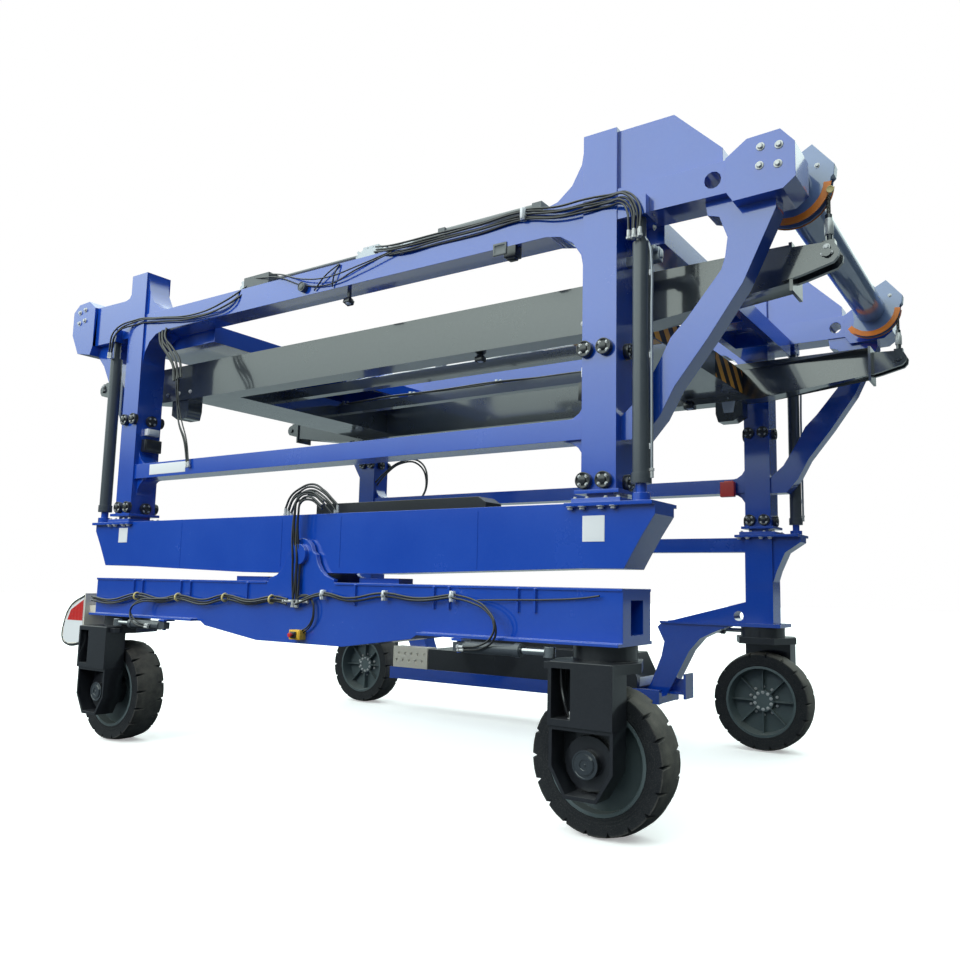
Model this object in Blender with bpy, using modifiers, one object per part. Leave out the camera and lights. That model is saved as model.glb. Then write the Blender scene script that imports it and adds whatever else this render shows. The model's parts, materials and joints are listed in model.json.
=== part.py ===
"""A straddle carrier: two side frames on four steered wheels, with a lifting frame and a spreader.

Metres, +Z up. X runs along the carrier, Y across it, and the near side is at -Y.
The pieces are drawn about the middle of the wheelbase. Each is then moved by MIDDLE_X, because the right
head reaches further out, so that the origin is on the ground at the middle of the carrier's whole length.
"""

import math

import bmesh
import bpy
from mathutils import Matrix, Vector

# Driving sizes
WHEEL_RADIUS = 0.56
TYRE_WIDTH = 0.33
WHEEL_X = 3.11
TRACK_Y = 2.08
SEAT_GAP = 0.0003
RUN_GAP = 0.006
PIN_FIT = 0.0008

# Tyres and rims
TYRE_DEPTH = 0.155
TYRE_BEAD = WHEEL_RADIUS - TYRE_DEPTH
TYRE_PITCHES = 18
NOTCH_DEPTH = 0.042
NOTCH_REACH = 0.1
RIM_STEPS = TYRE_PITCHES * 2
RIM_RIBS = 8
RIM_THICK = 0.028
HUB_RADIUS = 0.125
HUB_POCKET = 0.055
AXLE_RADIUS = 0.059
AXLE_BORE = 0.0597
# The disc's two faces, from the wheel's middle towards its outer side
DISC = (0.015, 0.045)

# Steering forks, over the outer side of each wheel
FORK_LEG_HALF = 0.265
FORK_LEG_INNER_Y = TRACK_Y + TYRE_WIDTH / 2 + 0.02
FORK_LEG_OUTER_Y = FORK_LEG_INNER_Y + 0.24
FORK_WALL = 0.03
FORK_BOX_BOTTOM = WHEEL_RADIUS + 0.27
FORK_PLATE = 0.07
TYRE_HEADROOM = 0.1
FORK_TOP = 2 * WHEEL_RADIUS + TYRE_HEADROOM + FORK_PLATE
SHIELD_BOTTOM = WHEEL_RADIUS - 0.24
SHIELD_CORNER = WHEEL_RADIUS - 0.03
SLEW_RADIUS = 0.25
SLEW_HEIGHT = 0.115
BOGIE_FOOT = FORK_TOP + SLEW_HEIGHT + RUN_GAP
# The fork's spigot in its bearing: their facets slide past each other, so the bore is a little wider
SPIGOT_RADIUS = 0.09
SPIGOT_BORE = 0.0908
SPIGOT_HEIGHT = 0.045

# Steering cylinders, on the outer side under the ledges
STEER_Y = FORK_LEG_INNER_Y + 0.135
STEER_ARM = 0.31
STEER_Z = BOGIE_FOOT - 0.066
STEER_ANCHOR_X = WHEEL_X - 1.16
STEER_BARREL_END = STEER_ANCHOR_X + 0.6
STEER_ROD_START = STEER_ANCHOR_X + 0.31
STEER_BARREL_RADIUS = 0.048
STEER_ROD_RADIUS = 0.026
STEER_PIN_RADIUS = 0.02
ANCHOR_PAD = 0.02

# Rocking bogie under the near side
BOGIE_HALF = WHEEL_X + 0.265
BOGIE_WIDTH = 0.5
BOGIE_TOP = BOGIE_FOOT + 0.425
BOGIE_BELLY = BOGIE_FOOT - 0.151
BOGIE_Y = (-TRACK_Y - BOGIE_WIDTH / 2, -TRACK_Y + BOGIE_WIDTH / 2)
BOGIE_FLANGE = 0.012
LEDGE_THICK = 0.025
STOP_HEIGHT = 0.05
PIVOT_Z = BOGIE_TOP + 0.264
PIVOT_RADIUS = 0.065
HORN_RADIUS = 0.155
HORN_HALF = 0.445
HORN_WALL = 0.05
HORN_CURVE = 0.27

# Base beam of the near side, legs of the far side
BASE_TOP = PIVOT_Z + 0.39
BASE_END_BOTTOM = BASE_TOP - 0.505
BASE_BELLY = BASE_TOP - 0.565
BASE_WIDTH = 0.37
BASE_SHOULDER = WHEEL_X - 0.11
FOOT_PLATE = 0.035
LEG_WIDTH = 0.32
TIE_BEAM = (BASE_TOP - 0.2, BASE_TOP - 0.03)

# Lifting frame
COLUMN_X = WHEEL_X + 0.01
BASE_TIP = COLUMN_X + 0.48
COLUMN_WIDTH = 0.3
COLUMN_DEPTH = 0.32
COLUMN_WALL = 0.025
COLUMN_FLANGE = 0.03
COLUMN_BOTTOM = BASE_TOP + FOOT_PLATE + RUN_GAP + COLUMN_FLANGE
MID_BEAM = (BASE_TOP + 0.51, BASE_TOP + 0.68)
TOP_BEAM = (BASE_TOP + 2.255, BASE_TOP + 2.505)
COLUMN_TOP = TOP_BEAM[1] + 0.525
MAST_GAP = 0.008
MAST_TOP = COLUMN_TOP - 0.27
BEAM_DEPTH = 0.28
TIE_TOP = TOP_BEAM[0] + 0.055
TIE_BOTTOM = TOP_BEAM[0] - 0.145
TIES = {1: (COLUMN_X - 0.12, COLUMN_X + 0.42), -1: (COLUMN_X - 1.07, COLUMN_X + 0.14)}

# Lift cylinders
LIFT_X = COLUMN_X + 0.36
LIFT_Y = TRACK_Y + 0.16
LIFT_LUG = TOP_BEAM[0] - 0.045
LIFT_BARREL = (BASE_TOP + 0.13, LIFT_LUG - 0.2)
LIFT_ROD_TOP = LIFT_BARREL[1] - 0.08
LIFT_BARREL_RADIUS = 0.068
LIFT_ROD_RADIUS = 0.04

# Torque tubes and spreader ropes
TUBE_X = {1: COLUMN_X + 1.36, -1: COLUMN_X + 1.14}
TUBE_Z = {1: TOP_BEAM[0] + 0.185, -1: TOP_BEAM[0] + 0.395}
TUBE_RADIUS = 0.15
BEARING_RADIUS = 0.1
JOURNAL_RADIUS = 0.0992
JOURNAL_LENGTH = 0.15
HEAD_INNER = TRACK_Y - 0.19
SHEAVE_RADIUS = 0.25
SHEAVE_FLANGE = 0.3
SHEAVE_WIDTH = 0.1
ROPE_RADIUS = 0.016
ROPE_LINE = SHEAVE_RADIUS + ROPE_RADIUS + 0.0006
TURNBUCKLE_RADIUS = 0.026

# Spreader
SPREADER_Y = TRACK_Y - 0.48
SHEAVE_Y = SPREADER_Y + 0.06
SPREADER_WIDTH = 0.25
SPREADER_TOP = TOP_BEAM[0] - 0.285
SPREADER_BOTTOM = SPREADER_TOP - 0.43
SPREADER_END_BOTTOM = SPREADER_TOP - 0.3
SPREADER_HALF = {1: TUBE_X[1] - 0.01, -1: TUBE_X[-1] - 0.01}
CORNER_X = 2.9265
CORNER_FOOT = SPREADER_BOTTOM - 0.23
LUG_Z = SPREADER_TOP - 0.13
LUG_RADIUS = 0.085
TURNBUCKLE_TOP = SPREADER_TOP + 0.2

# The middle of the whole length, which ends at the two lugs
MIDDLE_X = (TUBE_X[1] - TUBE_X[-1]) / 2

# Power pack, hung between the far legs
PACK_Y = (TRACK_Y - 0.36, TRACK_Y + 0.28)
TRAY_LOW = 0.44
TRAY_RAIL = 0.17
TRAY_TOP = TRAY_LOW + TRAY_RAIL
TRAY_ENDS = (-2.33, 1.95)
HANGER_FOOT = (1.72, 1.95)
HANGER_BOTTOM = TRAY_LOW + 0.09
HANGER_HALF = 0.12
PACK_SPLIT = -0.45
PACK_TOP = 1.02

NEAR = -1
FAR = 1

MATERIALS = {
    # name: colour, metallic, roughness
    "blue_paint": ((0.02, 0.06, 0.42, 1), 0.1, 0.3),
    "black_paint": ((0.015, 0.016, 0.02, 1), 0.1, 0.42),
    "spreader_paint": ((0.03, 0.045, 0.06, 1), 0.1, 0.35),
    "tyre_rubber": ((0.03, 0.03, 0.032, 1), 0.0, 0.85),
    "rim_paint": ((0.12, 0.17, 0.17, 1), 0.2, 0.45),
    "chrome": ((0.6, 0.6, 0.62, 1), 1.0, 0.15),
    "steel_rope": ((0.25, 0.25, 0.26, 1), 0.8, 0.5),
    "grey_paint": ((0.2, 0.21, 0.23, 1), 0.3, 0.4),
    "light_paint": ((0.6, 0.56, 0.5, 1), 0.1, 0.5),
    "red_lens": ((0.6, 0.02, 0.02, 1), 0.0, 0.25),
}


def clear_scene():
    for old in list(bpy.data.objects):
        bpy.data.objects.remove(old, do_unlink=True)


def new_collection(name):
    made = bpy.data.collections.new(name)
    bpy.context.scene.collection.children.link(made)
    return made


def make_materials():
    made = {}
    for name, (colour, metallic, roughness) in MATERIALS.items():
        material = bpy.data.materials.new(name)
        material.use_nodes = True
        shader = material.node_tree.nodes["Principled BSDF"]
        shader.inputs["Base Color"].default_value = colour
        shader.inputs["Metallic"].default_value = metallic
        shader.inputs["Roughness"].default_value = roughness
        made[name] = material
    return made


def keep_mesh(bm, name="form"):
    mesh = bpy.data.meshes.new(name)
    bm.to_mesh(mesh)
    bm.free()
    made = bpy.data.objects.new(name, mesh)
    FORMS.objects.link(made)
    return made


def block(x, y, z):
    """A box between the pairs x, y and z, whichever way round each pair is."""
    bm = bmesh.new()
    bmesh.ops.create_cube(bm, size=1)
    size = [abs(pair[1] - pair[0]) for pair in (x, y, z)]
    centre = [(pair[0] + pair[1]) / 2 for pair in (x, y, z)]
    bmesh.ops.scale(bm, vec=size, verts=bm.verts)
    bmesh.ops.translate(bm, vec=centre, verts=bm.verts)
    return keep_mesh(bm)


def around(middle, half):
    """The pair that reaches half to each side of middle."""
    return (middle - half, middle + half)


AXIS_TURN = {
    "X": Matrix.Rotation(math.pi / 2, 4, "Y"),
    "Y": Matrix.Rotation(-math.pi / 2, 4, "X"),
    "Z": Matrix.Identity(4),
}


def drum(centre, axis, radius, length, sides=24):
    """A cylinder about centre. axis is a letter, or a direction."""
    bm = bmesh.new()
    bmesh.ops.create_cone(bm, cap_ends=True, segments=sides, radius1=radius, radius2=radius, depth=length)
    if isinstance(axis, str):
        turn = AXIS_TURN[axis]
    else:
        turn = Vector(axis).to_track_quat("Z", "Y").to_matrix().to_4x4()
    bmesh.ops.transform(bm, matrix=Matrix.Translation(centre) @ turn, verts=bm.verts)
    return keep_mesh(bm)


def rod_between(start, end, radius, sides=16):
    """A round bar from one point to another."""
    start, end = Vector(start), Vector(end)
    return drum((start + end) / 2, end - start, radius, (end - start).length, sides)


def as_mesh(made):
    """The object's evaluated form as a mesh in the world frame, with the loose caps of a curve welded."""
    bpy.context.view_layer.update()
    graph = bpy.context.evaluated_depsgraph_get()
    mesh = bpy.data.meshes.new_from_object(made.evaluated_get(graph))
    mesh.transform(made.matrix_world)
    bm = bmesh.new()
    bm.from_mesh(mesh)
    bmesh.ops.remove_doubles(bm, verts=bm.verts, dist=1e-5)
    bmesh.ops.recalc_face_normals(bm, faces=bm.faces)
    bpy.data.objects.remove(made, do_unlink=True)
    bpy.data.meshes.remove(mesh)
    return keep_mesh(bm)


PLATE_TURN = {
    # A plate's outline is drawn in X and Z, in Y and Z, or in X and Y, and its thickness runs along the third
    "Y": Matrix(((1, 0, 0, 0), (0, 0, -1, 0), (0, 1, 0, 0), (0, 0, 0, 1))),
    "X": Matrix(((0, 0, 1, 0), (1, 0, 0, 0), (0, 1, 0, 0), (0, 0, 0, 1))),
    "Z": Matrix.Identity(4),
}


def plate(outline, axis, span):
    """A flat outline, extruded along axis between the two values of span."""
    curve = bpy.data.curves.new("outline", "CURVE")
    curve.dimensions = "2D"
    curve.fill_mode = "BOTH"
    curve.extrude = abs(span[1] - span[0]) / 2
    spline = curve.splines.new("POLY")
    spline.points.add(len(outline) - 1)
    for point, (u, v) in zip(spline.points, outline):
        point.co = (u, v, 0, 1)
    spline.use_cyclic_u = True
    made = bpy.data.objects.new("outline", curve)
    FORMS.objects.link(made)
    middle = (span[0] + span[1]) / 2
    shift = {"X": (middle, 0, 0), "Y": (0, middle, 0), "Z": (0, 0, middle)}[axis]
    made.matrix_world = Matrix.Translation(shift) @ PLATE_TURN[axis]
    return as_mesh(made)


def turned(profile, axis, centre, steps=32):
    """A closed profile of (radius, distance along the axis) points, turned about the axis."""
    bm = bmesh.new()
    points = [bm.verts.new((radius, 0, along)) for radius, along in profile]
    for first, second in zip(points, points[1:] + points[:1]):
        bm.edges.new((first, second))
    made = keep_mesh(bm, "profile")
    screw = made.modifiers.new("turn", "SCREW")
    screw.steps = steps
    screw.render_steps = steps
    screw.use_merge_vertices = True
    screw.merge_threshold = 1e-4
    made.matrix_world = Matrix.Translation(centre) @ AXIS_TURN[axis]
    return as_mesh(made)


def arc(u, v, radius, start, end, steps):
    """Points on an arc about (u, v), with its angles in degrees."""
    turn = [math.radians(start + (end - start) * i / steps) for i in range(steps + 1)]
    return [(u + radius * math.cos(a), v + radius * math.sin(a)) for a in turn]


def fillet(u, v, du, dv, steps=4):
    """The web that fills a corner at (u, v): du and dv reach out along its two sides."""
    curve = []
    for i in range(steps + 1):
        turn = math.pi / 2 * i / steps
        curve.append((u + du * (1 - math.sin(turn)), v + dv * (1 - math.cos(turn))))
    return [(u - du * 0.05, v - dv * 0.05), (u + du, v - dv * 0.05)] + curve + [(u - du * 0.05, v + dv)]


def offset(outline, u=0, v=0):
    return [(a + u, b + v) for a, b in outline]


def shift_x(outline, end):
    return [(u * end, v) for u, v in outline]


def combine(base, others, operation):
    group = bpy.data.collections.new("group")
    for other in others:
        group.objects.link(other)
    change = base.modifiers.new("join", "BOOLEAN")
    change.operation = operation
    change.operand_type = "COLLECTION"
    change.collection = group
    change.solver = "EXACT"
    made = as_mesh(base)
    for other in others:
        bpy.data.objects.remove(other, do_unlink=True)
    bpy.data.collections.remove(group)
    return made


def finish(name, solids, material, pivot=(0, 0, 0), cutters=(), smooth=True):
    """One named piece: the solids joined, the cutters taken away, with its origin on its pivot."""
    made = solids[0]
    if len(solids) > 1:
        made = combine(made, solids[1:], "UNION")
    if cutters:
        made = combine(made, list(cutters), "DIFFERENCE")
    made.data.transform(Matrix.Translation(-Vector(pivot)))
    made.location = Vector(pivot) - Vector((MIDDLE_X, 0, 0))
    made.name = name
    made.data.name = name
    made.data.materials.clear()
    made.data.materials.append(PAINT[material])
    if smooth:
        made.data.shade_smooth()
        made.data.set_sharp_from_angle(angle=math.radians(35))
    FORMS.objects.unlink(made)
    CARRIER.objects.link(made)


def side_name(side):
    return "near" if side == NEAR else "far"


def end_name(end):
    return "right" if end > 0 else "left"


def corner_name(side, end):
    return f"{side_name(side)}_{end_name(end)}"


CORNERS = [(side, end) for side in (NEAR, FAR) for end in (-1, 1)]


# Wheels

# Where a pitch's stations lie, and how deep the notch is there on each shoulder
TREAD = [(0.0, 0, 0), (0.09, 1, 0), (0.18, 0, 0), (0.5, 0, 0), (0.59, 0, 1), (0.68, 0, 0)]


def make_tyre(side, end):
    """A solid tyre: a turned ring whose two shoulders are notched by turns."""
    half = TYRE_WIDTH / 2
    bm = bmesh.new()
    rings = []
    for pitch in range(TYRE_PITCHES):
        for part, low, high in TREAD:
            turn = 2 * math.pi * (pitch + part) / TYRE_PITCHES
            section = [
                (TYRE_BEAD, -half + 0.012),
                (WHEEL_RADIUS - 0.02 - low * NOTCH_DEPTH, -half),
                (WHEEL_RADIUS, -half + NOTCH_REACH),
                (WHEEL_RADIUS, half - NOTCH_REACH),
                (WHEEL_RADIUS - 0.02 - high * NOTCH_DEPTH, half),
                (TYRE_BEAD, half - 0.012),
            ]
            ring = [bm.verts.new((r * math.cos(turn), along, r * math.sin(turn))) for r, along in section]
            rings.append(ring)
    for ring, following in zip(rings, rings[1:] + rings[:1]):
        for j in range(len(ring)):
            k = (j + 1) % len(ring)
            bm.faces.new((ring[j], ring[k], following[k], following[j]))
    bmesh.ops.recalc_face_normals(bm, faces=bm.faces)
    hub = (end * WHEEL_X, side * TRACK_Y, WHEEL_RADIUS)
    bmesh.ops.translate(bm, vec=hub, verts=bm.verts)
    finish(f"tyre_{corner_name(side, end)}", [keep_mesh(bm)], "tyre_rubber", hub, smooth=False)


def make_rim(side, end):
    """A deep dished rim, its disc near the outer side, with ribs and the bolted hub on the inner side."""
    half = TYRE_WIDTH / 2
    hub = (end * WHEEL_X, side * TRACK_Y, WHEEL_RADIUS)
    ring_outer = TYRE_BEAD - SEAT_GAP
    ring_inner = ring_outer - RIM_THICK
    # Distances along +Y of a wheel on the far side, where the outer side is at +Y
    shell = [
        (ring_outer, half - 0.014),
        (ring_outer, -half + 0.014),
        (ring_inner, -half + 0.014),
        (ring_inner - 0.02, DISC[0]),
        (0.08, DISC[0]),
        (0.08, DISC[1]),
        (ring_inner, DISC[1]),
        (ring_inner, half - 0.014),
    ]

    def across(along):
        return (hub[0], hub[1] + side * along, hub[2])

    solids = [
        turned([(r, along * side) for r, along in shell], "Y", hub, RIM_STEPS),
        rod_between(across(DISC[1] - 0.005), across(DISC[0] - 0.06), HUB_RADIUS, 16),
    ]
    stand = Matrix(((1, 0, 0, 0), (0, 0, 1, 0), (0, -1, 0, 0), (0, 0, 0, 1)))
    for i in range(RIM_RIBS):
        reach = (HUB_RADIUS - 0.01, ring_inner - 0.006)
        rib = block(reach, (-0.006, 0.006), (side * (DISC[0] + 0.01), side * (DISC[0] - 0.07)))
        turn = Matrix.Rotation(2 * math.pi * i / RIM_RIBS, 4, "Y")
        rib.data.transform(Matrix.Translation(hub) @ turn @ stand)
        solids.append(rib)
    bore = rod_between(across(DISC[0] - HUB_POCKET), across(DISC[1] + 0.1), AXLE_BORE, 24)
    finish(f"rim_{corner_name(side, end)}", solids, "rim_paint", hub, [bore])


# Steering forks

def fork_crown(x, side):
    """The outline of the plate over the wheel, which narrows towards the carrier's middle."""
    half = FORK_LEG_HALF
    right = [
        (half - 0.01, FORK_LEG_OUTER_Y - 0.01),
        (half + 0.09, TRACK_Y + 0.12),
        (0.2, TRACK_Y - 0.26),
    ]
    left = [(-u, v) for u, v in reversed(right)]
    return [(x + u, side * v) for u, v in right + left]


def fork_shield(x, side):
    """The eight-sided frame round the hub motor, below the leg's box."""
    outer = FORK_LEG_HALF - 0.004
    inner = FORK_LEG_HALF - FORK_WALL
    frame = [(outer, FORK_BOX_BOTTOM + 0.04), (outer, SHIELD_CORNER), (0.13, SHIELD_BOTTOM)]
    hole = [
        (inner, FORK_BOX_BOTTOM - FORK_WALL),
        (inner, SHIELD_CORNER + 0.01),
        (0.12, SHIELD_BOTTOM + FORK_WALL),
    ]
    both = []
    for right in (frame, hole):
        left = [(-u, v) for u, v in reversed(right)]
        both.append(offset(right + left, x))
    solid = plate(both[0], "Y", (side * (FORK_LEG_INNER_Y + 0.003), side * (FORK_LEG_OUTER_Y - 0.02)))
    pocket = plate(both[1], "Y", (side * (FORK_LEG_INNER_Y + 0.03), side * (FORK_LEG_OUTER_Y + 0.1)))
    return combine(solid, [pocket], "DIFFERENCE")


def make_fork(side, end):
    """A one-legged fork: a boxed leg outside the wheel, a shield round the hub motor, and a top plate."""
    x = end * WHEEL_X
    y = side * TRACK_Y
    inner = side * FORK_LEG_INNER_Y
    half = FORK_LEG_HALF
    motor = side * (TRACK_Y + DISC[1] + RUN_GAP)
    stub = side * (TRACK_Y + DISC[0] - HUB_POCKET + RUN_GAP)
    solids = [
        block(around(x, half), (inner, side * FORK_LEG_OUTER_Y), (FORK_BOX_BOTTOM, FORK_TOP)),
        plate(fork_crown(x, side), "Z", (FORK_TOP - FORK_PLATE, FORK_TOP + 0.004)),
        drum((x, y, FORK_TOP + SLEW_HEIGHT / 2 - 0.01), "Z", SLEW_RADIUS, SLEW_HEIGHT + 0.02, 20),
        drum((x, y, BOGIE_FOOT + SPIGOT_HEIGHT / 2 - 0.01), "Z", SPIGOT_RADIUS, SPIGOT_HEIGHT + 0.02, 32),
        # The hub motor, a round case in steps that reaches into the rim's dish, and its axle stub
        drum((x, side * (FORK_LEG_INNER_Y + 0.02), WHEEL_RADIUS), "Y", 0.2, 0.12, 16),
        rod_between((x, motor, WHEEL_RADIUS), (x, inner, WHEEL_RADIUS), 0.15, 16),
        drum((x, side * (FORK_LEG_INNER_Y + 0.09), WHEEL_RADIUS), "Y", 0.1, 0.1, 12),
        rod_between((x, stub, WHEEL_RADIUS), (x, inner, WHEEL_RADIUS), AXLE_RADIUS, 24),
        fork_shield(x, side),
    ]
    # Steering lever, towards the carrier's middle
    lever = [
        (x - end * 0.2, side * (STEER_Y - 0.06)),
        (x - end * 0.2, side * (STEER_Y + 0.06)),
        (x - end * (STEER_ARM + 0.02), side * (STEER_Y + 0.05)),
        (x - end * (STEER_ARM + 0.05), side * STEER_Y),
        (x - end * (STEER_ARM + 0.02), side * (STEER_Y - 0.05)),
    ]
    solids.append(plate(lever, "Z", (FORK_TOP - 0.06, FORK_TOP - 0.01)))
    recess = block(
        (x - half + FORK_WALL, x - half + 0.19),
        (side * (FORK_LEG_INNER_Y + 0.03), side * (FORK_LEG_OUTER_Y + 0.1)),
        (FORK_BOX_BOTTOM + 0.05, FORK_TOP - 0.045),
    )
    finish(f"fork_{corner_name(side, end)}", solids, "black_paint", (x, y, FORK_TOP), [recess])


def slew_bore(side, end):
    """The bearing bore over a fork, into which its spigot reaches."""
    depth = SPIGOT_HEIGHT + RUN_GAP
    middle = BOGIE_FOOT - 0.02 + (depth + 0.02) / 2
    return drum((end * WHEEL_X, side * TRACK_Y, middle), "Z", SPIGOT_BORE, depth + 0.02, 32)


# Steering cylinders

def make_steering_anchor(side, end):
    """The pad and pin that a steering cylinder's barrel hangs on, bolted under its ledge."""
    x = end * STEER_ANCHOR_X
    y = side * STEER_Y
    pad_top = BOGIE_FOOT - SEAT_GAP
    pin_low = STEER_Z - 0.05
    pin_high = pad_top - ANCHOR_PAD / 2
    solids = [
        block(around(x, 0.05), (y - side * 0.09, y + side * 0.045), (pad_top - ANCHOR_PAD, pad_top)),
        drum((x, y, (pin_high + pin_low) / 2), "Z", STEER_PIN_RADIUS, pin_high - pin_low, 12),
    ]
    finish(f"steer_anchor_{corner_name(side, end)}", solids, "blue_paint", (x, y, pad_top))


def make_steering_cylinder(side, end):
    """A barrel on its anchor pin and a rod, whose eye lies over the fork's lever."""
    x = end * STEER_ANCHOR_X
    y = side * STEER_Y
    front = end * STEER_BARREL_END
    rear = x + end * 0.06
    length = abs(front - rear)
    bore_middle = (rear + front) / 2 + end * 0.065
    barrel = [
        drum(((rear + front) / 2, y, STEER_Z), "X", STEER_BARREL_RADIUS, length, 12),
        drum((front - end * 0.03, y, STEER_Z), "X", STEER_BARREL_RADIUS + 0.009, 0.05, 12),
        block((x - end * 0.04, rear + end * 0.02), around(y, 0.035), around(STEER_Z, 0.035)),
    ]
    cutters = [
        drum((x, y, STEER_Z), "Z", STEER_PIN_RADIUS + PIN_FIT, 0.2, 12),
        drum((bore_middle, y, STEER_Z), "X", STEER_ROD_RADIUS + PIN_FIT, length + 0.07, 12),
    ]
    finish(f"steer_barrel_{corner_name(side, end)}", barrel, "black_paint", (x, y, STEER_Z), cutters)
    eye = end * (WHEEL_X - STEER_ARM)
    start = end * STEER_ROD_START
    rod = [
        drum(((start + eye) / 2, y, STEER_Z), "X", STEER_ROD_RADIUS, abs(eye - start), 12),
        drum((eye, y, STEER_Z + 0.003), "Z", 0.045, 0.08, 12),
    ]
    finish(f"steer_rod_{corner_name(side, end)}", rod, "chrome", (eye, y, STEER_Z))


# Near side: rocking bogie and base beam

def make_bogie():
    """The rocker beam: a box with a deeper belly, ledges over its steering cylinders and a pivot horn."""
    half = [
        (BOGIE_HALF, BOGIE_TOP),
        (BOGIE_HALF, BOGIE_FOOT),
        (1.45, BOGIE_FOOT),
        (1.38, BOGIE_FOOT - 0.041),
        (0.58, BOGIE_BELLY),
    ]
    front, back = BOGIE_Y
    solids = [plate(half + [(-u, v) for u, v in reversed(half)], "Y", BOGIE_Y)]
    # The top flange stands out a little from the web, and ends before the horn
    for end in (-1, 1):
        flange_x = (end * (HORN_HALF + 0.02), end * BOGIE_HALF)
        flange_y = (front - BOGIE_FLANGE, back + BOGIE_FLANGE)
        solids.append(block(flange_x, flange_y, (BOGIE_TOP - 0.02, BOGIE_TOP + 0.002)))
        ledge = (end * 1.5, end * BOGIE_HALF)
        solids.append(block(ledge, (front - 0.08, back + 0.03), (BOGIE_FOOT, BOGIE_FOOT + LEDGE_THICK)))
        stop = (end * 0.62, end * 1.1)
        solids.append(block(stop, around(-TRACK_Y, 0.1), (BOGIE_TOP - 0.02, BOGIE_TOP + STOP_HEIGHT)))
        for x in (0.72, 1.62, 1.78, 2.46, 2.62):
            rib = (end * x, end * (x + 0.018))
            solids.append(block(rib, (front - 0.025, front + 0.02), (BOGIE_TOP - 0.2, BOGIE_TOP - 0.01)))
    curve = arc(-HORN_HALF - 0.02, BOGIE_TOP + 0.03 + HORN_CURVE, HORN_CURVE, -60, -8, 3)
    horn = (
        [(-HORN_HALF, BOGIE_TOP - 0.08), (-HORN_HALF, BOGIE_TOP + 0.03)]
        + curve
        + arc(0, PIVOT_Z, HORN_RADIUS, 170, 10, 6)
        + [(-u, v) for u, v in reversed(curve)]
        + [(HORN_HALF, BOGIE_TOP + 0.03), (HORN_HALF, BOGIE_TOP - 0.08)]
    )
    solids.append(plate(horn, "Y", (front, front + HORN_WALL)))
    solids.append(plate(horn, "Y", (back - HORN_WALL, back)))
    pivot = (0, -TRACK_Y, PIVOT_Z)
    solids.append(drum(pivot, "Y", PIVOT_RADIUS, BOGIE_WIDTH + 0.06, 20))
    solids.append(drum((0, front - 0.02, PIVOT_Z), "Y", 0.1, 0.05, 16))
    cutters = []
    for end in (-1, 1):
        mouth_x = (end * (BOGIE_HALF - 0.5), end * (BOGIE_HALF + 0.1))
        mouth_z = (BOGIE_FOOT + 0.079, BOGIE_TOP - 0.086)
        cutters.append(block(mouth_x, around(-TRACK_Y, 0.11), mouth_z))
        cutters.append(slew_bore(NEAR, end))
    finish("near_bogie", solids, "blue_paint", pivot, cutters)


# The guard beyond the bogie's left end: the bar's points in X and Z, about the bogie's end and foot
GUARD_Y = (-TRACK_Y - 0.25, -TRACK_Y + 0.06)
GUARD_BAR = [(-0.25, 0.21), (-0.54, 0.07), (-0.65, -0.13), (-0.66, -0.3), (-0.57, -0.36), (-0.25, -0.34)]
GUARD_RADIUS = 0.016


def make_corner_guard():
    """A box on a bracket beyond the bogie's left end, between two bent guard bars."""
    x = -BOGIE_HALF
    z = BOGIE_FOOT
    solids = [
        block((x - 0.56, x - 0.26), (GUARD_Y[0] + 0.02, GUARD_Y[1] - 0.02), (z - 0.3, z + 0.06)),
        block((x - 0.3, x - SEAT_GAP), (GUARD_Y[0] + 0.06, GUARD_Y[0] + 0.16), (z + 0.02, z + 0.1)),
        block((x - 0.24, x - 0.22), GUARD_Y, (z - 0.38, z + 0.24)),
    ]
    for y in (GUARD_Y[0] + GUARD_RADIUS, GUARD_Y[1] - GUARD_RADIUS):
        points = [(x + u, y, z + v) for u, v in GUARD_BAR]
        for start, end in zip(points, points[1:]):
            solids.append(rod_between(start, end, GUARD_RADIUS, 8))
    finish("corner_guard", solids, "light_paint", (x, -TRACK_Y, z))


def bracket_end(end):
    """The flared end of a base, which carries the lift cylinder's foot."""
    outline = [
        (COLUMN_X - 0.25, BASE_TOP),
        (BASE_TIP, BASE_TOP),
        (BASE_TIP, BASE_TOP - 0.1),
        (BASE_TIP - 0.1, BASE_TOP - 0.25),
        (BASE_TIP - 0.19, BASE_TOP - 0.4),
        (BASE_TIP - 0.25, BASE_END_BOTTOM),
        (COLUMN_X - 0.25, BASE_END_BOTTOM),
    ]
    return shift_x(outline, end)


def masts_and_rods(side):
    """The masts that the columns slide on, with their foot plates, and the lift rods with their ball ends."""
    solids = []
    y = side * TRACK_Y
    inner_x = COLUMN_WIDTH / 2 - COLUMN_WALL - MAST_GAP
    inner_y = COLUMN_DEPTH / 2 - COLUMN_WALL - MAST_GAP
    for end in (-1, 1):
        x = end * COLUMN_X
        rod = (end * LIFT_X, side * LIFT_Y)
        rod_low = BASE_TOP - 0.01
        rod_middle = (rod_low + LIFT_ROD_TOP) / 2
        flange = (end * (COLUMN_X - 0.26), end * BASE_TIP)
        solids += [
            block(around(x, inner_x), around(y, inner_y), (BASE_TOP - 0.05, MAST_TOP)),
            block(around(x, 0.21), around(y, 0.21), (BASE_TOP - 0.02, BASE_TOP + FOOT_PLATE)),
            drum((*rod, rod_middle), "Z", LIFT_ROD_RADIUS, LIFT_ROD_TOP - rod_low, 12),
            drum((*rod, BASE_TOP + 0.02), "Z", 0.07, 0.08, 12),
            block(flange, around(y, 0.24), (BASE_TOP - 0.03, BASE_TOP)),
        ]
    return solids


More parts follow.
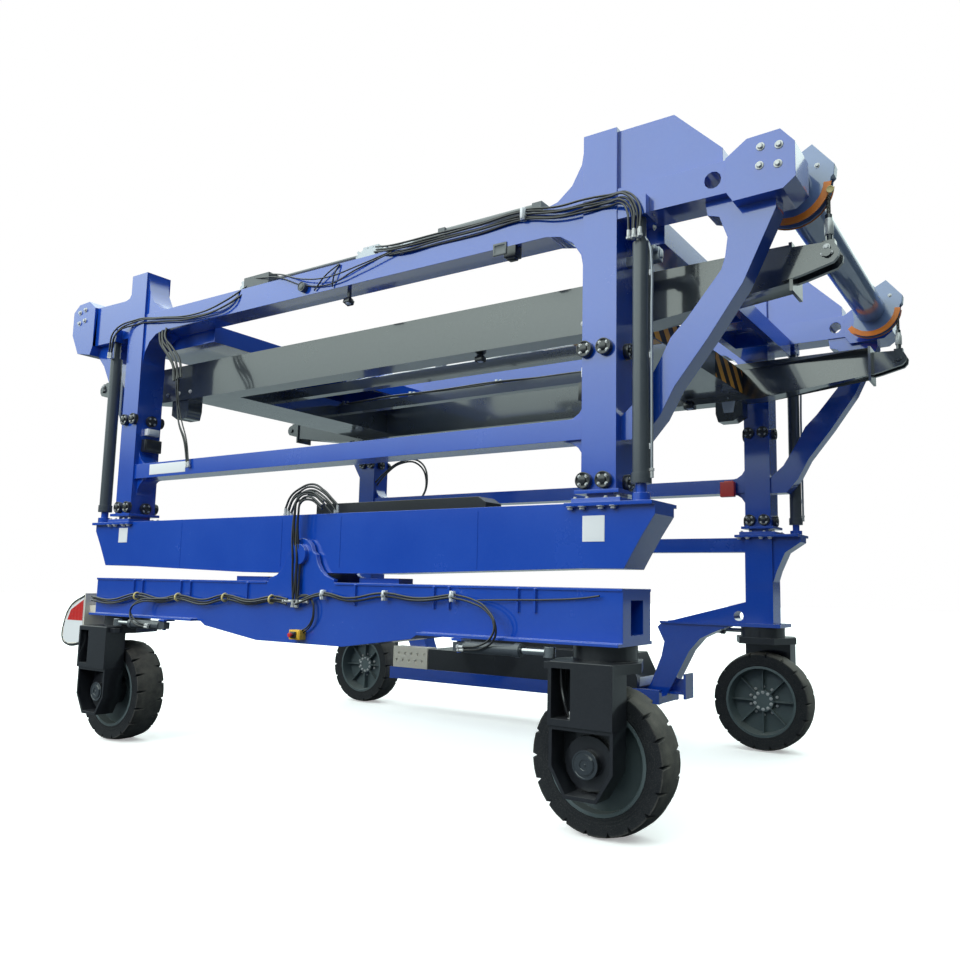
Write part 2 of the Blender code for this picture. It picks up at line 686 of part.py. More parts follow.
def make_near_base():
    """The near base beam on its pivot, with the near masts and lift rods standing on it."""
    y = around(-TRACK_Y, BASE_WIDTH / 2)
    half = [(BASE_SHOULDER, BASE_TOP), (BASE_SHOULDER, BASE_END_BOTTOM), (0.9, BASE_BELLY)]
    solids = [plate(half + [(-u, v) for u, v in reversed(half)], "Y", y)]
    for end in (-1, 1):
        solids.append(plate(bracket_end(end), "Y", y))
    solids += masts_and_rods(NEAR)
    bore = drum((0, -TRACK_Y, PIVOT_Z), "Y", PIVOT_RADIUS + PIN_FIT, BOGIE_WIDTH + 0.5, 20)
    finish("near_base_beam", solids, "blue_paint", (0, -TRACK_Y, BASE_TOP), [bore])


CABLE_TRAY = (0.05, 1.93)
TRAY_WALL = 0.012


def make_cable_tray():
    """The open cable tray along the top of the near base beam, with the lug plate at its right end."""
    low = BASE_TOP + SEAT_GAP
    near, far = -TRACK_Y - 0.13, -TRACK_Y + 0.11
    high = low + 0.1
    lug = [(1.9, low), (2.05, low), (2.05, low + 0.05), (1.97, high), (1.9, high)]
    solids = [
        block(CABLE_TRAY, (near, far), (low, low + TRAY_WALL)),
        block(CABLE_TRAY, (near, near + TRAY_WALL), (low, high)),
        block(CABLE_TRAY, (far - TRAY_WALL, far), (low, high)),
        plate(lug, "Y", (near, far)),
    ]
    finish("cable_tray", solids, "black_paint", (CABLE_TRAY[0], -TRACK_Y, low))


# Far side: legs, tie beam, hangers and power pack

def make_far_base():
    """The far side's two legs with their feet, tie beam, masts and lift rods."""
    y = TRACK_Y
    solids = []
    for end in (-1, 1):
        leg = around(end * COLUMN_X, LEG_WIDTH / 2)
        solids.append(block(leg, around(y, LEG_WIDTH / 2), (BOGIE_FOOT + 0.02, BASE_TOP - 0.01)))
        foot = around(end * WHEEL_X, 0.27)
        solids.append(block(foot, around(y, 0.24), (BOGIE_FOOT, BOGIE_FOOT + 0.04)))
        bracket = [
            (COLUMN_X - 0.12, BASE_TOP),
            (BASE_TIP, BASE_TOP),
            (BASE_TIP, BASE_TOP - 0.09),
            (BASE_TIP - 0.18, BASE_TOP - 0.21),
            (BASE_TIP - 0.28, BASE_TOP - 0.43),
            (BASE_TIP - 0.33, BASE_TOP - 0.59),
            (COLUMN_X - 0.12, BASE_TOP - 0.59),
        ]
        solids.append(plate(shift_x(bracket, end), "Y", around(y, 0.13)))
        # The ledge over the steering cylinder runs beside the hanger arm
        ledge_x = (end * (STEER_ANCHOR_X - 0.08), end * (WHEEL_X - 0.21))
        ledge_y = (y + HANGER_HALF + SEAT_GAP, y + 0.36)
        solids.append(block(ledge_x, ledge_y, (BOGIE_FOOT, BOGIE_FOOT + LEDGE_THICK)))
    solids.append(block((-COLUMN_X, COLUMN_X), around(y, 0.09), TIE_BEAM))
    solids.append(block((-COLUMN_X, COLUMN_X), (y - 0.05, y + 0.13), (TIE_BEAM[0], TIE_BEAM[0] + 0.02)))
    solids += masts_and_rods(FAR)
    cutters = [slew_bore(FAR, end) for end in (-1, 1)]
    finish("far_base_frame", solids, "blue_paint", (0, TRACK_Y, BASE_TOP), cutters)


def make_hanger(end):
    """The curved arm that hangs the power pack's tray from the foot of a far leg."""
    y = TRACK_Y
    face = COLUMN_X - LEG_WIDTH / 2 - SEAT_GAP
    foot = WHEEL_X - 0.27 - SEAT_GAP
    z = BOGIE_FOOT
    upper = [(1.88, z), (1.83, z - 0.05), (1.92, z - 0.23), (1.88, z - 0.41), (1.74, z - 0.75)]
    lower = [(2.12, z - 0.56), (2.24, z - 0.33), (2.38, z - 0.17), (2.56, z - 0.08), (2.76, z)]
    outline = (
        [(face, z + 0.29)]
        + upper
        + [(1.7, z - 0.81), (HANGER_FOOT[0], HANGER_BOTTOM), (HANGER_FOOT[1], HANGER_BOTTOM)]
        + lower
        + [(foot, z), (foot, z + 0.04 + SEAT_GAP), (face, z + 0.04 + SEAT_GAP)]
    )
    solids = [
        plate(shift_x(outline, end), "Y", around(y, HANGER_HALF)),
        block((end * 1.87, end * foot), (y - 0.15, y - 0.1), (z, z + LEDGE_THICK)),
        # A bumper plate behind the foot
        block((end * 1.93, end * 2.2), around(y, 0.1), (HANGER_BOTTOM + 0.02, HANGER_BOTTOM + 0.05)),
        block((end * 2.17, end * 2.2), around(y, 0.13), (HANGER_BOTTOM - 0.03, HANGER_BOTTOM + 0.27)),
        block((end * 1.95, end * 2.19), around(y, 0.02), (HANGER_BOTTOM + 0.04, HANGER_BOTTOM + 0.2)),
    ]
    hole = drum((end * (WHEEL_X - 0.25), y, z + 0.12), "Y", 0.06, 0.6, 12)
    finish(f"hanger_{end_name(end)}", solids, "blue_paint", (end * face, y, z), [hole])


def make_power_pack():
    """The low tray between the far legs, the housings that stand on it and the guard before the cooler."""
    near, far = PACK_Y
    rail = [
        block(TRAY_ENDS, (near, near + 0.08), (TRAY_LOW, TRAY_TOP)),
        block(TRAY_ENDS, (far - 0.08, far), (TRAY_LOW, TRAY_TOP)),
    ]
    for x in (TRAY_ENDS[0], -0.9, 0.4):
        rail.append(block((x, x + 0.08), PACK_Y, (TRAY_LOW + 0.01, TRAY_TOP - 0.03)))
    for end in (-1, 1):
        # The bearers that the hangers' feet are bolted to
        bearer = (end * HANGER_FOOT[0], end * HANGER_FOOT[1])
        rail.append(block(bearer, PACK_Y, (TRAY_LOW + 0.005, HANGER_BOTTOM - SEAT_GAP)))
    finish("pack_tray", rail, "blue_paint", (0, TRACK_Y, TRAY_LOW))
    floor = TRAY_TOP + SEAT_GAP
    low_top = PACK_TOP - 0.12
    tank = [(-1.62, floor), (PACK_SPLIT, floor), (PACK_SPLIT, low_top), (-1.62, low_top)]
    left = PACK_SPLIT - 0.01
    hood = [(left, floor), (1.66, floor), (1.66, 0.74), (1.52, PACK_TOP), (left, PACK_TOP)]
    housing = [
        plate(tank, "Y", (near + 0.01, far)),
        plate(hood, "Y", PACK_Y),
        block((-1.2, 0.9), (near + 0.2, far - 0.06), (low_top - 0.02, PACK_TOP + 0.2)),
    ]
    finish("power_pack", housing, "black_paint", (0, TRACK_Y, TRAY_TOP))
    guard = block((-2.27, -1.63), (near, near + 0.2), (floor, floor + 0.3))
    holes = []
    for row in range(2):
        for i in range(5):
            middle = (-2.16 + 0.12 * i - 0.04 * row, near, floor + 0.2 - 0.1 * row)
            holes.append(drum(middle, "Y", 0.022, 0.03, 8))
    finish("cooler_guard", [guard], "light_paint", (-2.27, near, floor), holes)


# Lifting frame

def sleeve(side, end):
    x = end * COLUMN_X
    y = side * TRACK_Y
    return block(around(x, COLUMN_WIDTH / 2), around(y, COLUMN_DEPTH / 2), (COLUMN_BOTTOM, COLUMN_TOP))


def sleeve_bore(side, end):
    x = end * COLUMN_X
    y = side * TRACK_Y
    wx = COLUMN_WIDTH / 2 - COLUMN_WALL
    wy = COLUMN_DEPTH / 2 - COLUMN_WALL
    return block(around(x, wx), around(y, wy), (COLUMN_BOTTOM - 0.1, COLUMN_TOP - 0.04))


# The outlines beyond each column, about the column's middle and the underside of the top beam
HEADS = {
    1: {
        "arm": [(0.08, 0), (1.08, 0), (1.08, 0.255), (0.08, 0.255)],
        "crest": [(0.08, 0.755), (0.62, 0.755), (1.0, 0.375), (1.0, 0.235), (0.08, 0.235)],
        "plate": [
            (1.04, 0.245), (1.2, 0.355), (1.44, 0.365), (1.54, 0.245),
            (1.54, -0.015), (1.45, -0.085), (1.09, -0.095), (1.04, -0.015),
        ],
        "brace": [
            (0.84, 0.02), (0.86, -0.105), (0.95, -0.135), (1.01, -0.305), (0.99, -0.455), (0.96, -0.545),
            (0.69, -0.875), (0.56, -1.005), (0.47, -1.175), (0.3, -1.445), (0.14, -1.585), (0.14, -1.765),
            (0.33, -1.765), (0.47, -1.605), (0.59, -1.385), (0.85, -1.055), (1.12, -0.675), (1.37, -0.155),
            (1.37, 0.02),
        ],
    },
    -1: {
        "arm": [
            (0.08, 0), (0.93, 0), (0.93, 0.495), (0.28, 0.485), (0.2, 0.505), (0.15, 0.575), (0.08, 0.615),
        ],
        "crest": None,
        "plate": [
            (0.87, 0.495), (1.01, 0.595), (1.23, 0.585), (1.35, 0.495),
            (1.35, 0.195), (1.2, -0.065), (0.92, -0.115), (0.87, -0.005),
        ],
        "brace": [
            (0.5, 0.02), (0.54, -0.1), (0.56, -0.225), (0.29, -0.605), (0.14, -0.815), (0.14, -1.295),
            (0.24, -1.145), (0.78, -0.255), (0.92, -0.115), (0.92, 0.02),
        ],
    },
}


def make_side_frame(side):
    """Columns, mid and top beams, the arms with their heads and braces, and the webs in the corners."""
    y = side * TRACK_Y
    low = TOP_BEAM[0]
    beam_y = around(y, BEAM_DEPTH / 2)
    web = around(y, 0.1)
    inner = COLUMN_X - COLUMN_WIDTH / 2
    solids = [
        block((-COLUMN_X, COLUMN_X), beam_y, MID_BEAM),
        block((-COLUMN_X, COLUMN_X), beam_y, TOP_BEAM),
    ]
    cutters = []
    for end in (-1, 1):
        head = HEADS[end]
        forms = [
            (offset(head["arm"], COLUMN_X, low), around(y, 0.15)),
            (offset(head["plate"], COLUMN_X, low), around(y, 0.19)),
            (offset(head["brace"], COLUMN_X, low), (y - side * 0.13, y + side * 0.07)),
            (fillet(inner, low, -0.36, -0.36), beam_y),
            (fillet(inner, MID_BEAM[1], -0.18, 0.18), web),
            (fillet(inner, MID_BEAM[0], -0.2, -0.2), web),
            (fillet(inner, TOP_BEAM[1], -0.42, COLUMN_TOP - TOP_BEAM[1] - 0.03), around(y, 0.13)),
        ]
        if head["crest"]:
            forms.append((offset(head["crest"], COLUMN_X, low), around(y, 0.12)))
        for outline, across in forms:
            solids.append(plate(shift_x(outline, end), "Y", across))
        lug = (LIFT_LUG, LIFT_LUG + 0.16)
        flange = (COLUMN_BOTTOM, COLUMN_BOTTOM + COLUMN_FLANGE)
        solids += [
            sleeve(side, end),
            block(around(end * LIFT_X, 0.07), (y, side * (LIFT_Y + 0.07)), lug),
            block(around(end * COLUMN_X, 0.19), around(y, 0.2), flange),
        ]
        # The column's bore, and the bearing of the torque tube, open to the inner side of the head
        bearing = (end * TUBE_X[end], side * (HEAD_INNER - 0.1), TUBE_Z[end])
        cutters += [
            sleeve_bore(side, end),
            drum(bearing, "Y", BEARING_RADIUS, 2 * JOURNAL_LENGTH + 0.2, 32),
        ]
    cutters.append(drum((COLUMN_X + 0.93, y, low + 0.125), "Y", 0.065, 1.0, 12))
    finish(f"side_frame_{side_name(side)}", solids, "blue_paint", (0, y, low), cutters)


def make_tie(end):
    """A box tie between the two side frames, level with the undersides of their arms, open from below."""
    reach = TRACK_Y - COLUMN_DEPTH / 2 - SEAT_GAP
    inner, outer = TIES[end]
    tie = [block((end * inner, end * outer), (-reach, reach), (TIE_BOTTOM, TIE_TOP))]
    cutters = []
    for y in (-0.5 * reach, 0.0, 0.5 * reach):
        hollow = (end * (inner + 0.08), end * (outer - 0.08))
        cutters.append(block(hollow, around(y, 0.35), (TIE_BOTTOM - 0.05, TIE_TOP - 0.02)))
    finish(f"cross_tie_{end_name(end)}", tie, "blue_paint", (end * inner, 0, TIE_TOP), cutters)


def make_tail_lamp():
    """The square lamp on a bracket, on the inner face of the far mid beam."""
    x = around(COLUMN_X - 0.345, 0.085)
    face = TRACK_Y - BEAM_DEPTH / 2 - SEAT_GAP
    low = MID_BEAM[0] - 0.05
    solids = [
        block((x[0] + 0.03, x[1] - 0.03), (face - 0.03, face), (MID_BEAM[0] + 0.02, MID_BEAM[1] - 0.02)),
        block(x, (face - 0.09, face - 0.02), (low, low + 0.18)),
    ]
    finish("tail_lamp", solids, "red_lens", (x[0], face, low))


def make_lift_barrel(side, end):
    """The lift cylinder's barrel, hung from the arm, with its rod standing on the base below."""
    x = end * LIFT_X
    y = side * LIFT_Y
    low, high = LIFT_BARREL
    neck = LIFT_LUG - high + 0.02 - 2 * SEAT_GAP
    solids = [
        drum((x, y, (low + high) / 2), "Z", LIFT_BARREL_RADIUS, high - low, 16),
        drum((x, y, low + 0.04), "Z", LIFT_BARREL_RADIUS + 0.01, 0.08, 16),
        drum((x, y, (high + LIFT_LUG) / 2 - 0.01), "Z", 0.04, neck, 12),
    ]
    bore = drum((x, y, (low + high) / 2 - 0.075), "Z", LIFT_ROD_RADIUS + PIN_FIT, high - low + 0.05, 12)
    finish(f"lift_barrel_{corner_name(side, end)}", solids, "black_paint", (x, y, LIFT_LUG), [bore])


# The sector's tail beyond its rope groove, about the tube's middle
SHEAVE_LOBE = [(0.17, 0.3), (0.33, 0.1), (0.32, 0.02)]


def sheave(side, end):
    """A sector sheave: a grooved core between two flanges, with the rope's clamp above."""
    y = side * SHEAVE_Y
    half = SHEAVE_WIDTH / 2

    def sector(radius):
        outline = arc(0, 0, radius, 0, -130, 8) + arc(0, 0, 0.19, -150, -260, 3) + SHEAVE_LOBE
        return [(end * (TUBE_X[end] + u), TUBE_Z[end] + v) for u, v in outline]

    return [
        plate(sector(SHEAVE_RADIUS), "Y", around(y, half - 0.005)),
        plate(sector(SHEAVE_FLANGE), "Y", (y - half, y - half + 0.018)),
        plate(sector(SHEAVE_FLANGE), "Y", (y + half - 0.018, y + half)),
    ]


def make_torque_tube(end):
    """The cross tube that keeps the two sides of the spreader level, with a sector sheave for each rope."""
    centre = (end * TUBE_X[end], 0, TUBE_Z[end])
    solids = [
        drum(centre, "Y", TUBE_RADIUS, 2 * (HEAD_INNER - RUN_GAP), 24),
        drum(centre, "Y", JOURNAL_RADIUS, 2 * (HEAD_INNER + JOURNAL_LENGTH - RUN_GAP), 32),
    ]
    for side in (NEAR, FAR):
        solids += sheave(side, end)
    finish(f"torque_tube_{end_name(end)}", solids, "blue_paint", centre)


def make_rope(side, end):
    """The short hanging run of a spreader rope, from its sheave to its turnbuckle."""
    x = end * (TUBE_X[end] + ROPE_LINE)
    y = side * SHEAVE_Y
    low = TURNBUCKLE_TOP + SEAT_GAP
    high = TUBE_Z[end]
    rope = drum((x, y, (low + high) / 2), "Z", ROPE_RADIUS, high - low, 8)
    finish(f"rope_{corner_name(side, end)}", [rope], "steel_rope", (x, y, high))


def spreader_beam(side):
    """A long box beam, tapered to its two ends."""
    outline = [
        (-SPREADER_HALF[-1], SPREADER_TOP),
        (-SPREADER_HALF[-1], SPREADER_END_BOTTOM),
        (-3.3, SPREADER_BOTTOM),
        (3.3, SPREADER_BOTTOM),
        (SPREADER_HALF[1], SPREADER_END_BOTTOM),
        (SPREADER_HALF[1], SPREADER_TOP),
    ]
    return plate(outline, "Y", around(side * SPREADER_Y, SPREADER_WIDTH / 2))


def spreader_end(side, end):
    """The end plate of a long beam with its lugs, pin and turnbuckle, and the corner bracket further in."""
    y = side * SPREADER_Y
    rope_y = side * SHEAVE_Y
    tip = SPREADER_HALF[end]
    pin = TUBE_X[end] + ROPE_LINE
    lug = (
        [(tip - 0.05, SPREADER_TOP - 0.03)]
        + arc(pin, LUG_Z, LUG_RADIUS, 80, -60, 4)
        + [(tip + 0.1, SPREADER_TOP - 0.26), (tip - 0.05, SPREADER_TOP - 0.29)]
    )
    corner = [
        (CORNER_X - 0.16, SPREADER_BOTTOM + 0.02),
        (CORNER_X + 0.16, SPREADER_BOTTOM + 0.02),
        (CORNER_X + 0.16, CORNER_FOOT + 0.06),
        (CORNER_X + 0.05, CORNER_FOOT),
        (CORNER_X - 0.13, CORNER_FOOT),
        (CORNER_X - 0.16, CORNER_FOOT + 0.1),
    ]
    turnbuckle = (end * pin, rope_y, (LUG_Z + TURNBUCKLE_TOP) / 2)
    face_z = (SPREADER_END_BOTTOM - 0.07, SPREADER_TOP + 0.01)
    return [
        block((end * tip, end * (tip + 0.025)), around(y, 0.15), face_z),
        plate(shift_x(lug, end), "Y", (rope_y - 0.095, rope_y - 0.055)),
        plate(shift_x(lug, end), "Y", (rope_y + 0.055, rope_y + 0.095)),
        drum((end * pin, rope_y, LUG_Z), "Y", 0.035, 0.24, 10),
        drum(turnbuckle, "Z", TURNBUCKLE_RADIUS, TURNBUCKLE_TOP - LUG_Z, 10),
        block(around(end * pin, 0.045), around(rope_y, 0.04), (LUG_Z - 0.03, LUG_Z + 0.12)),
        plate(shift_x(corner, end), "Y", around(y, 0.1)),
    ]


def make_spreader():
    """Two long box beams with lugs under the ropes, cross members and corner brackets."""
    solids = []
    for side in (NEAR, FAR):
        solids.append(spreader_beam(side))
        for end in (-1, 1):
            solids += spreader_end(side, end)
    for end in (-1, 1):
        member = (end * (CORNER_X - 0.5765), end * (CORNER_X + 0.1735))
        solids.append(block(member, (-SPREADER_Y, SPREADER_Y), (SPREADER_TOP - 0.36, SPREADER_TOP - 0.08)))
    for y in (-0.5, 0.5):
        solids.append(block((-2.5, 2.5), around(y, 0.06), (SPREADER_TOP - 0.26, SPREADER_TOP - 0.14)))
    finish("spreader", solids, "spreader_paint", (0, 0, SPREADER_TOP))


def make_top_cylinder(side):
    """The long cylinder that lies on the top beam, with its rod reaching to the valve block."""
    y = side * TRACK_Y
    seat = TOP_BEAM[1] + SEAT_GAP
    z = TOP_BEAM[1] + 0.085
    solids = [
        drum((1.95, y, z), "X", 0.055, 1.1, 12),
        drum((0.3, y, z), "X", 0.024, 2.5, 8),
        block((2.42, 2.52), around(y, 0.07), (seat, z + 0.04)),
        block((1.4, 1.48), around(y, 0.07), (seat, z + 0.04)),
        block((-1.25, -0.85), around(y, 0.11), (seat, z + 0.05)),
    ]
    finish(f"top_cylinder_{side_name(side)}", solids, "grey_paint", (2.5, y, z))


clear_scene()
CARRIER = new_collection("straddle_carrier")
FORMS = new_collection("forms")
PAINT = make_materials()

for side, end in CORNERS:
    make_tyre(side, end)
    make_rim(side, end)
    make_fork(side, end)
make_bogie()
make_corner_guard()
make_near_base()
make_cable_tray()
make_far_base()
make_power_pack()
for side in (NEAR, FAR):
    make_side_frame(side)
    make_top_cylinder(side)
for end in (-1, 1):
    make_hanger(end)
    make_tie(end)
    make_torque_tube(end)
for side, end in CORNERS:
    make_steering_anchor(side, end)
    make_steering_cylinder(side, end)
    make_lift_barrel(side, end)
    make_rope(side, end)
make_spreader()
make_tail_lamp()
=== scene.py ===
import json
import math

import bmesh
import bpy
from mathutils import Matrix, Vector


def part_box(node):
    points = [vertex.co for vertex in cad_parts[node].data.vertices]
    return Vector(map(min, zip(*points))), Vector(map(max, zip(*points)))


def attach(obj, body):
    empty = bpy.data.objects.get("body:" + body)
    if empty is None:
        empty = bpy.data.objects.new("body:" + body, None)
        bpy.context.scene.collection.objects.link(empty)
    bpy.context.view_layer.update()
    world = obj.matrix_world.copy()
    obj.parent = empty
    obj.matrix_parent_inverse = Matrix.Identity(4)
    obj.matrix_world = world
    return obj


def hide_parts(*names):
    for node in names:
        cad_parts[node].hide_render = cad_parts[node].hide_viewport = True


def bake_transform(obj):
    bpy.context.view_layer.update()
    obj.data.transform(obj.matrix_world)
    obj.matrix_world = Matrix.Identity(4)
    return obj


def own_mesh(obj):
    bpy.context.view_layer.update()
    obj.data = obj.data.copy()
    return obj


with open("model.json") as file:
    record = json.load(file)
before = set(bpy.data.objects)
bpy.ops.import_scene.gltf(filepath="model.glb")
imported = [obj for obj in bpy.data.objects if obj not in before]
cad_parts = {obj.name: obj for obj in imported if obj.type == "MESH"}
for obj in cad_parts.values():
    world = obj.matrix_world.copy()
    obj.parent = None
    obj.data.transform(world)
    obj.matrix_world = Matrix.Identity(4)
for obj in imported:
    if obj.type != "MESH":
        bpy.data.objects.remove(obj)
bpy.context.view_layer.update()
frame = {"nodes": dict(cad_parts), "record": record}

scene = bpy.context.scene
nodes = frame["nodes"]
middleX = -0.11   # the drawn middle of the wheelbase, in the frame's own X
wheelPlaces = {"alongX": 3.11, "outY": 2.08, "axleZ": 0.56}   # the same for all four wheels
sides = ((-1, "near"), (1, "far"))
ends = ((-1, "left"), (1, "right"))


def at(x, y, z):
    return Vector((x + middleX, y, z))


# Camera, floor and light

view = {
    "place": (5.933, -8.002, 1.855),
    "yaw": 0.5813,
    "pitch": 0.1205,
    "roll": 0.0193,
    "lens": 31.41,
    "shift": (-0.0258, 0.0027),
}


def addCamera():
    yaw, pitch, roll = view["yaw"], view["pitch"], view["roll"]
    forward = Vector((-math.sin(yaw) * math.cos(pitch), math.cos(yaw) * math.cos(pitch), math.sin(pitch)))
    level = Vector((math.cos(yaw), math.sin(yaw), 0))
    upward = level.cross(forward)
    right = math.cos(roll) * level + math.sin(roll) * upward
    above = -math.sin(roll) * level + math.cos(roll) * upward
    turn = Matrix((right, above, -forward)).transposed().to_4x4()
    bpy.ops.object.camera_add(location=view["place"], rotation=turn.to_euler())
    camera = bpy.context.object
    camera.data.lens = view["lens"]
    camera.data.sensor_width = 36
    camera.data.shift_x, camera.data.shift_y = view["shift"]
    camera.data.clip_end = 200
    scene.camera = camera


studio = {
    "floorSize": 160,
    "floorColour": (0.93, 0.935, 0.94, 1),
    "yardColour": (0.05, 0.06, 0.075, 1),   # what the machine's gloss and shadows see of the floor in front
    "yardBehind": (0.17, 0.19, 0.21, 1),    # and behind it
    # the sky by its height, 0.5 at the horizon: dark near the ground, bright overhead
    "skySteps": [(0.0, (0.05, 0.055, 0.06, 1)), (0.53, (0.05, 0.07, 0.08, 1)), (0.56, (0.16, 0.20, 0.21, 1)),
                 (0.58, (0.62, 0.76, 0.76, 1)), (0.66, (1.52, 1.76, 1.66, 1)), (1.0, (1.54, 1.74, 1.68, 1))],
    "skyTilt": 0.6,   # how much lower the sky looks towards +X
    "floorGlow": 0.35,
    "backdrop": (1, 1, 1, 1),
    "skyStrength": 1.0,
    # place, aim, size, strength in watts
    "lights": [
        ((-3, -15, 9), (0, -2, 3), 9, 1100),
    ],
}


def addStudio():
    bpy.ops.mesh.primitive_plane_add(size=studio["floorSize"], location=(0, 0, 0))
    floor = bpy.context.object
    floor.name = "floor"
    material = bpy.data.materials.new("floorMatt")
    material.use_nodes = True
    shader = material.node_tree.nodes["Principled BSDF"]
    shader.inputs["Roughness"].default_value = 0.9
    tree = material.node_tree
    seen = addNode(tree, "ShaderNodeLightPath").outputs["Is Camera Ray"]
    spread = addNode(tree, "ShaderNodeSeparateXYZ")
    tree.links.new(addNode(tree, "ShaderNodeTexCoord").outputs["Object"], spread.inputs[0])
    behind = rangeNode(tree, spread.outputs["Y"], 1.5, 4.0)
    bounced = blendNode(tree, behind, studio["yardColour"], studio["yardBehind"])
    tree.links.new(blendNode(tree, seen, bounced, studio["floorColour"]), shader.inputs["Base Color"])
    shader.inputs["Emission Color"].default_value = (1, 1, 1, 1)
    tree.links.new(mathNode(tree, "MULTIPLY", seen, studio["floorGlow"]), shader.inputs["Emission Strength"])
    floor.data.materials.append(material)
    world = bpy.data.worlds.new("paleSky")
    world.use_nodes = True
    tree = world.node_tree
    sky = tree.nodes["Background"]
    place = addNode(tree, "ShaderNodeTexCoord")
    split = addNode(tree, "ShaderNodeSeparateXYZ")
    height = addNode(tree, "ShaderNodeMapRange")
    height.inputs["From Min"].default_value = -1
    ramp = addNode(tree, "ShaderNodeValToRGB")
    steps = studio["skySteps"]
    for i, (where, colour) in enumerate(steps):
        stop = ramp.color_ramp.elements[i] if i < 2 else ramp.color_ramp.elements.new(where)
        stop.position = where
        stop.color = colour
    tree.links.new(place.outputs["Generated"], split.inputs[0])
    aside = mathNode(tree, "MULTIPLY", mathNode(tree, "MAXIMUM", split.outputs["X"], 0.0), studio["skyTilt"])
    tree.links.new(mathNode(tree, "SUBTRACT", split.outputs["Z"], aside), height.inputs["Value"])
    tree.links.new(height.outputs["Result"], ramp.inputs["Fac"])
    tree.links.new(ramp.outputs["Color"], sky.inputs["Color"])
    sky.inputs["Strength"].default_value = studio["skyStrength"]
    backdrop = addNode(tree, "ShaderNodeBackground")
    backdrop.inputs["Color"].default_value = studio["backdrop"]
    path = addNode(tree, "ShaderNodeLightPath")
    mix = addNode(tree, "ShaderNodeMixShader")
    tree.links.new(path.outputs["Is Camera Ray"], mix.inputs[0])
    tree.links.new(sky.outputs[0], mix.inputs[1])
    tree.links.new(backdrop.outputs[0], mix.inputs[2])
    tree.links.new(mix.outputs[0], tree.nodes["World Output"].inputs["Surface"])
    scene.world = world
    for place, aim, size, watts in studio["lights"]:
        bpy.ops.object.light_add(type="AREA", location=place)
        lamp = bpy.context.object
        lamp.data.shape = "DISK"
        lamp.data.size = size
        lamp.data.energy = watts
        lamp.visible_glossy = False   # it lights the paint and isn't mirrored in it
        lamp.rotation_euler = (Vector(aim) - Vector(place)).to_track_quat("-Z", "Y").to_euler()
    scene.view_settings.view_transform = "Standard"


# Finishes

def addNode(tree, kind, **settings):
    made = tree.nodes.new(kind)
    for name, value in settings.items():
        setattr(made, name, value)
    return made


def newGroup(name, inputs, outputs):
    group = bpy.data.node_groups.new(name, "ShaderNodeTree")
    for title, kind, value in inputs:
        socket = group.interface.new_socket(title, in_out="INPUT", socket_type="NodeSocket" + kind)
        socket.default_value = value
    for title, kind in outputs:
        group.interface.new_socket(title, in_out="OUTPUT", socket_type="NodeSocket" + kind)
    return group


def mathNode(tree, operation, first, second=None, clamp=False):
    made = addNode(tree, "ShaderNodeMath", operation=operation, use_clamp=clamp)
    for i, value in enumerate((first, second)):
        if value is None:
            continue
        if isinstance(value, (int, float)):
            made.inputs[i].default_value = value
        else:
            tree.links.new(value, made.inputs[i])
    return made.outputs[0]


def blendNode(tree, factor, first, second):
    made = addNode(tree, "ShaderNodeMix", data_type="RGBA")
    for socket, value in ((made.inputs[0], factor), (made.inputs[6], first), (made.inputs[7], second)):
        if isinstance(value, (int, float, tuple)):
            socket.default_value = value
        else:
            tree.links.new(value, socket)
    return made.outputs[2]


def noiseNode(tree, vector, scale, detail=3.0, roughness=0.55):
    made = addNode(tree, "ShaderNodeTexNoise")
    made.inputs["Detail"].default_value = detail
    made.inputs["Roughness"].default_value = roughness
    if isinstance(scale, (int, float)):
        made.inputs["Scale"].default_value = scale
    else:
        tree.links.new(scale, made.inputs["Scale"])
    tree.links.new(vector, made.inputs["Vector"])
    return made.outputs["Fac"]


def rangeNode(tree, value, low, high, newLow=0.0, newHigh=1.0):
    made = addNode(tree, "ShaderNodeMapRange")
    tree.links.new(value, made.inputs["Value"])
    for title, number in (("From Min", low), ("From Max", high), ("To Min", newLow), ("To Max", newHigh)):
        made.inputs[title].default_value = number
    return made.outputs["Result"]


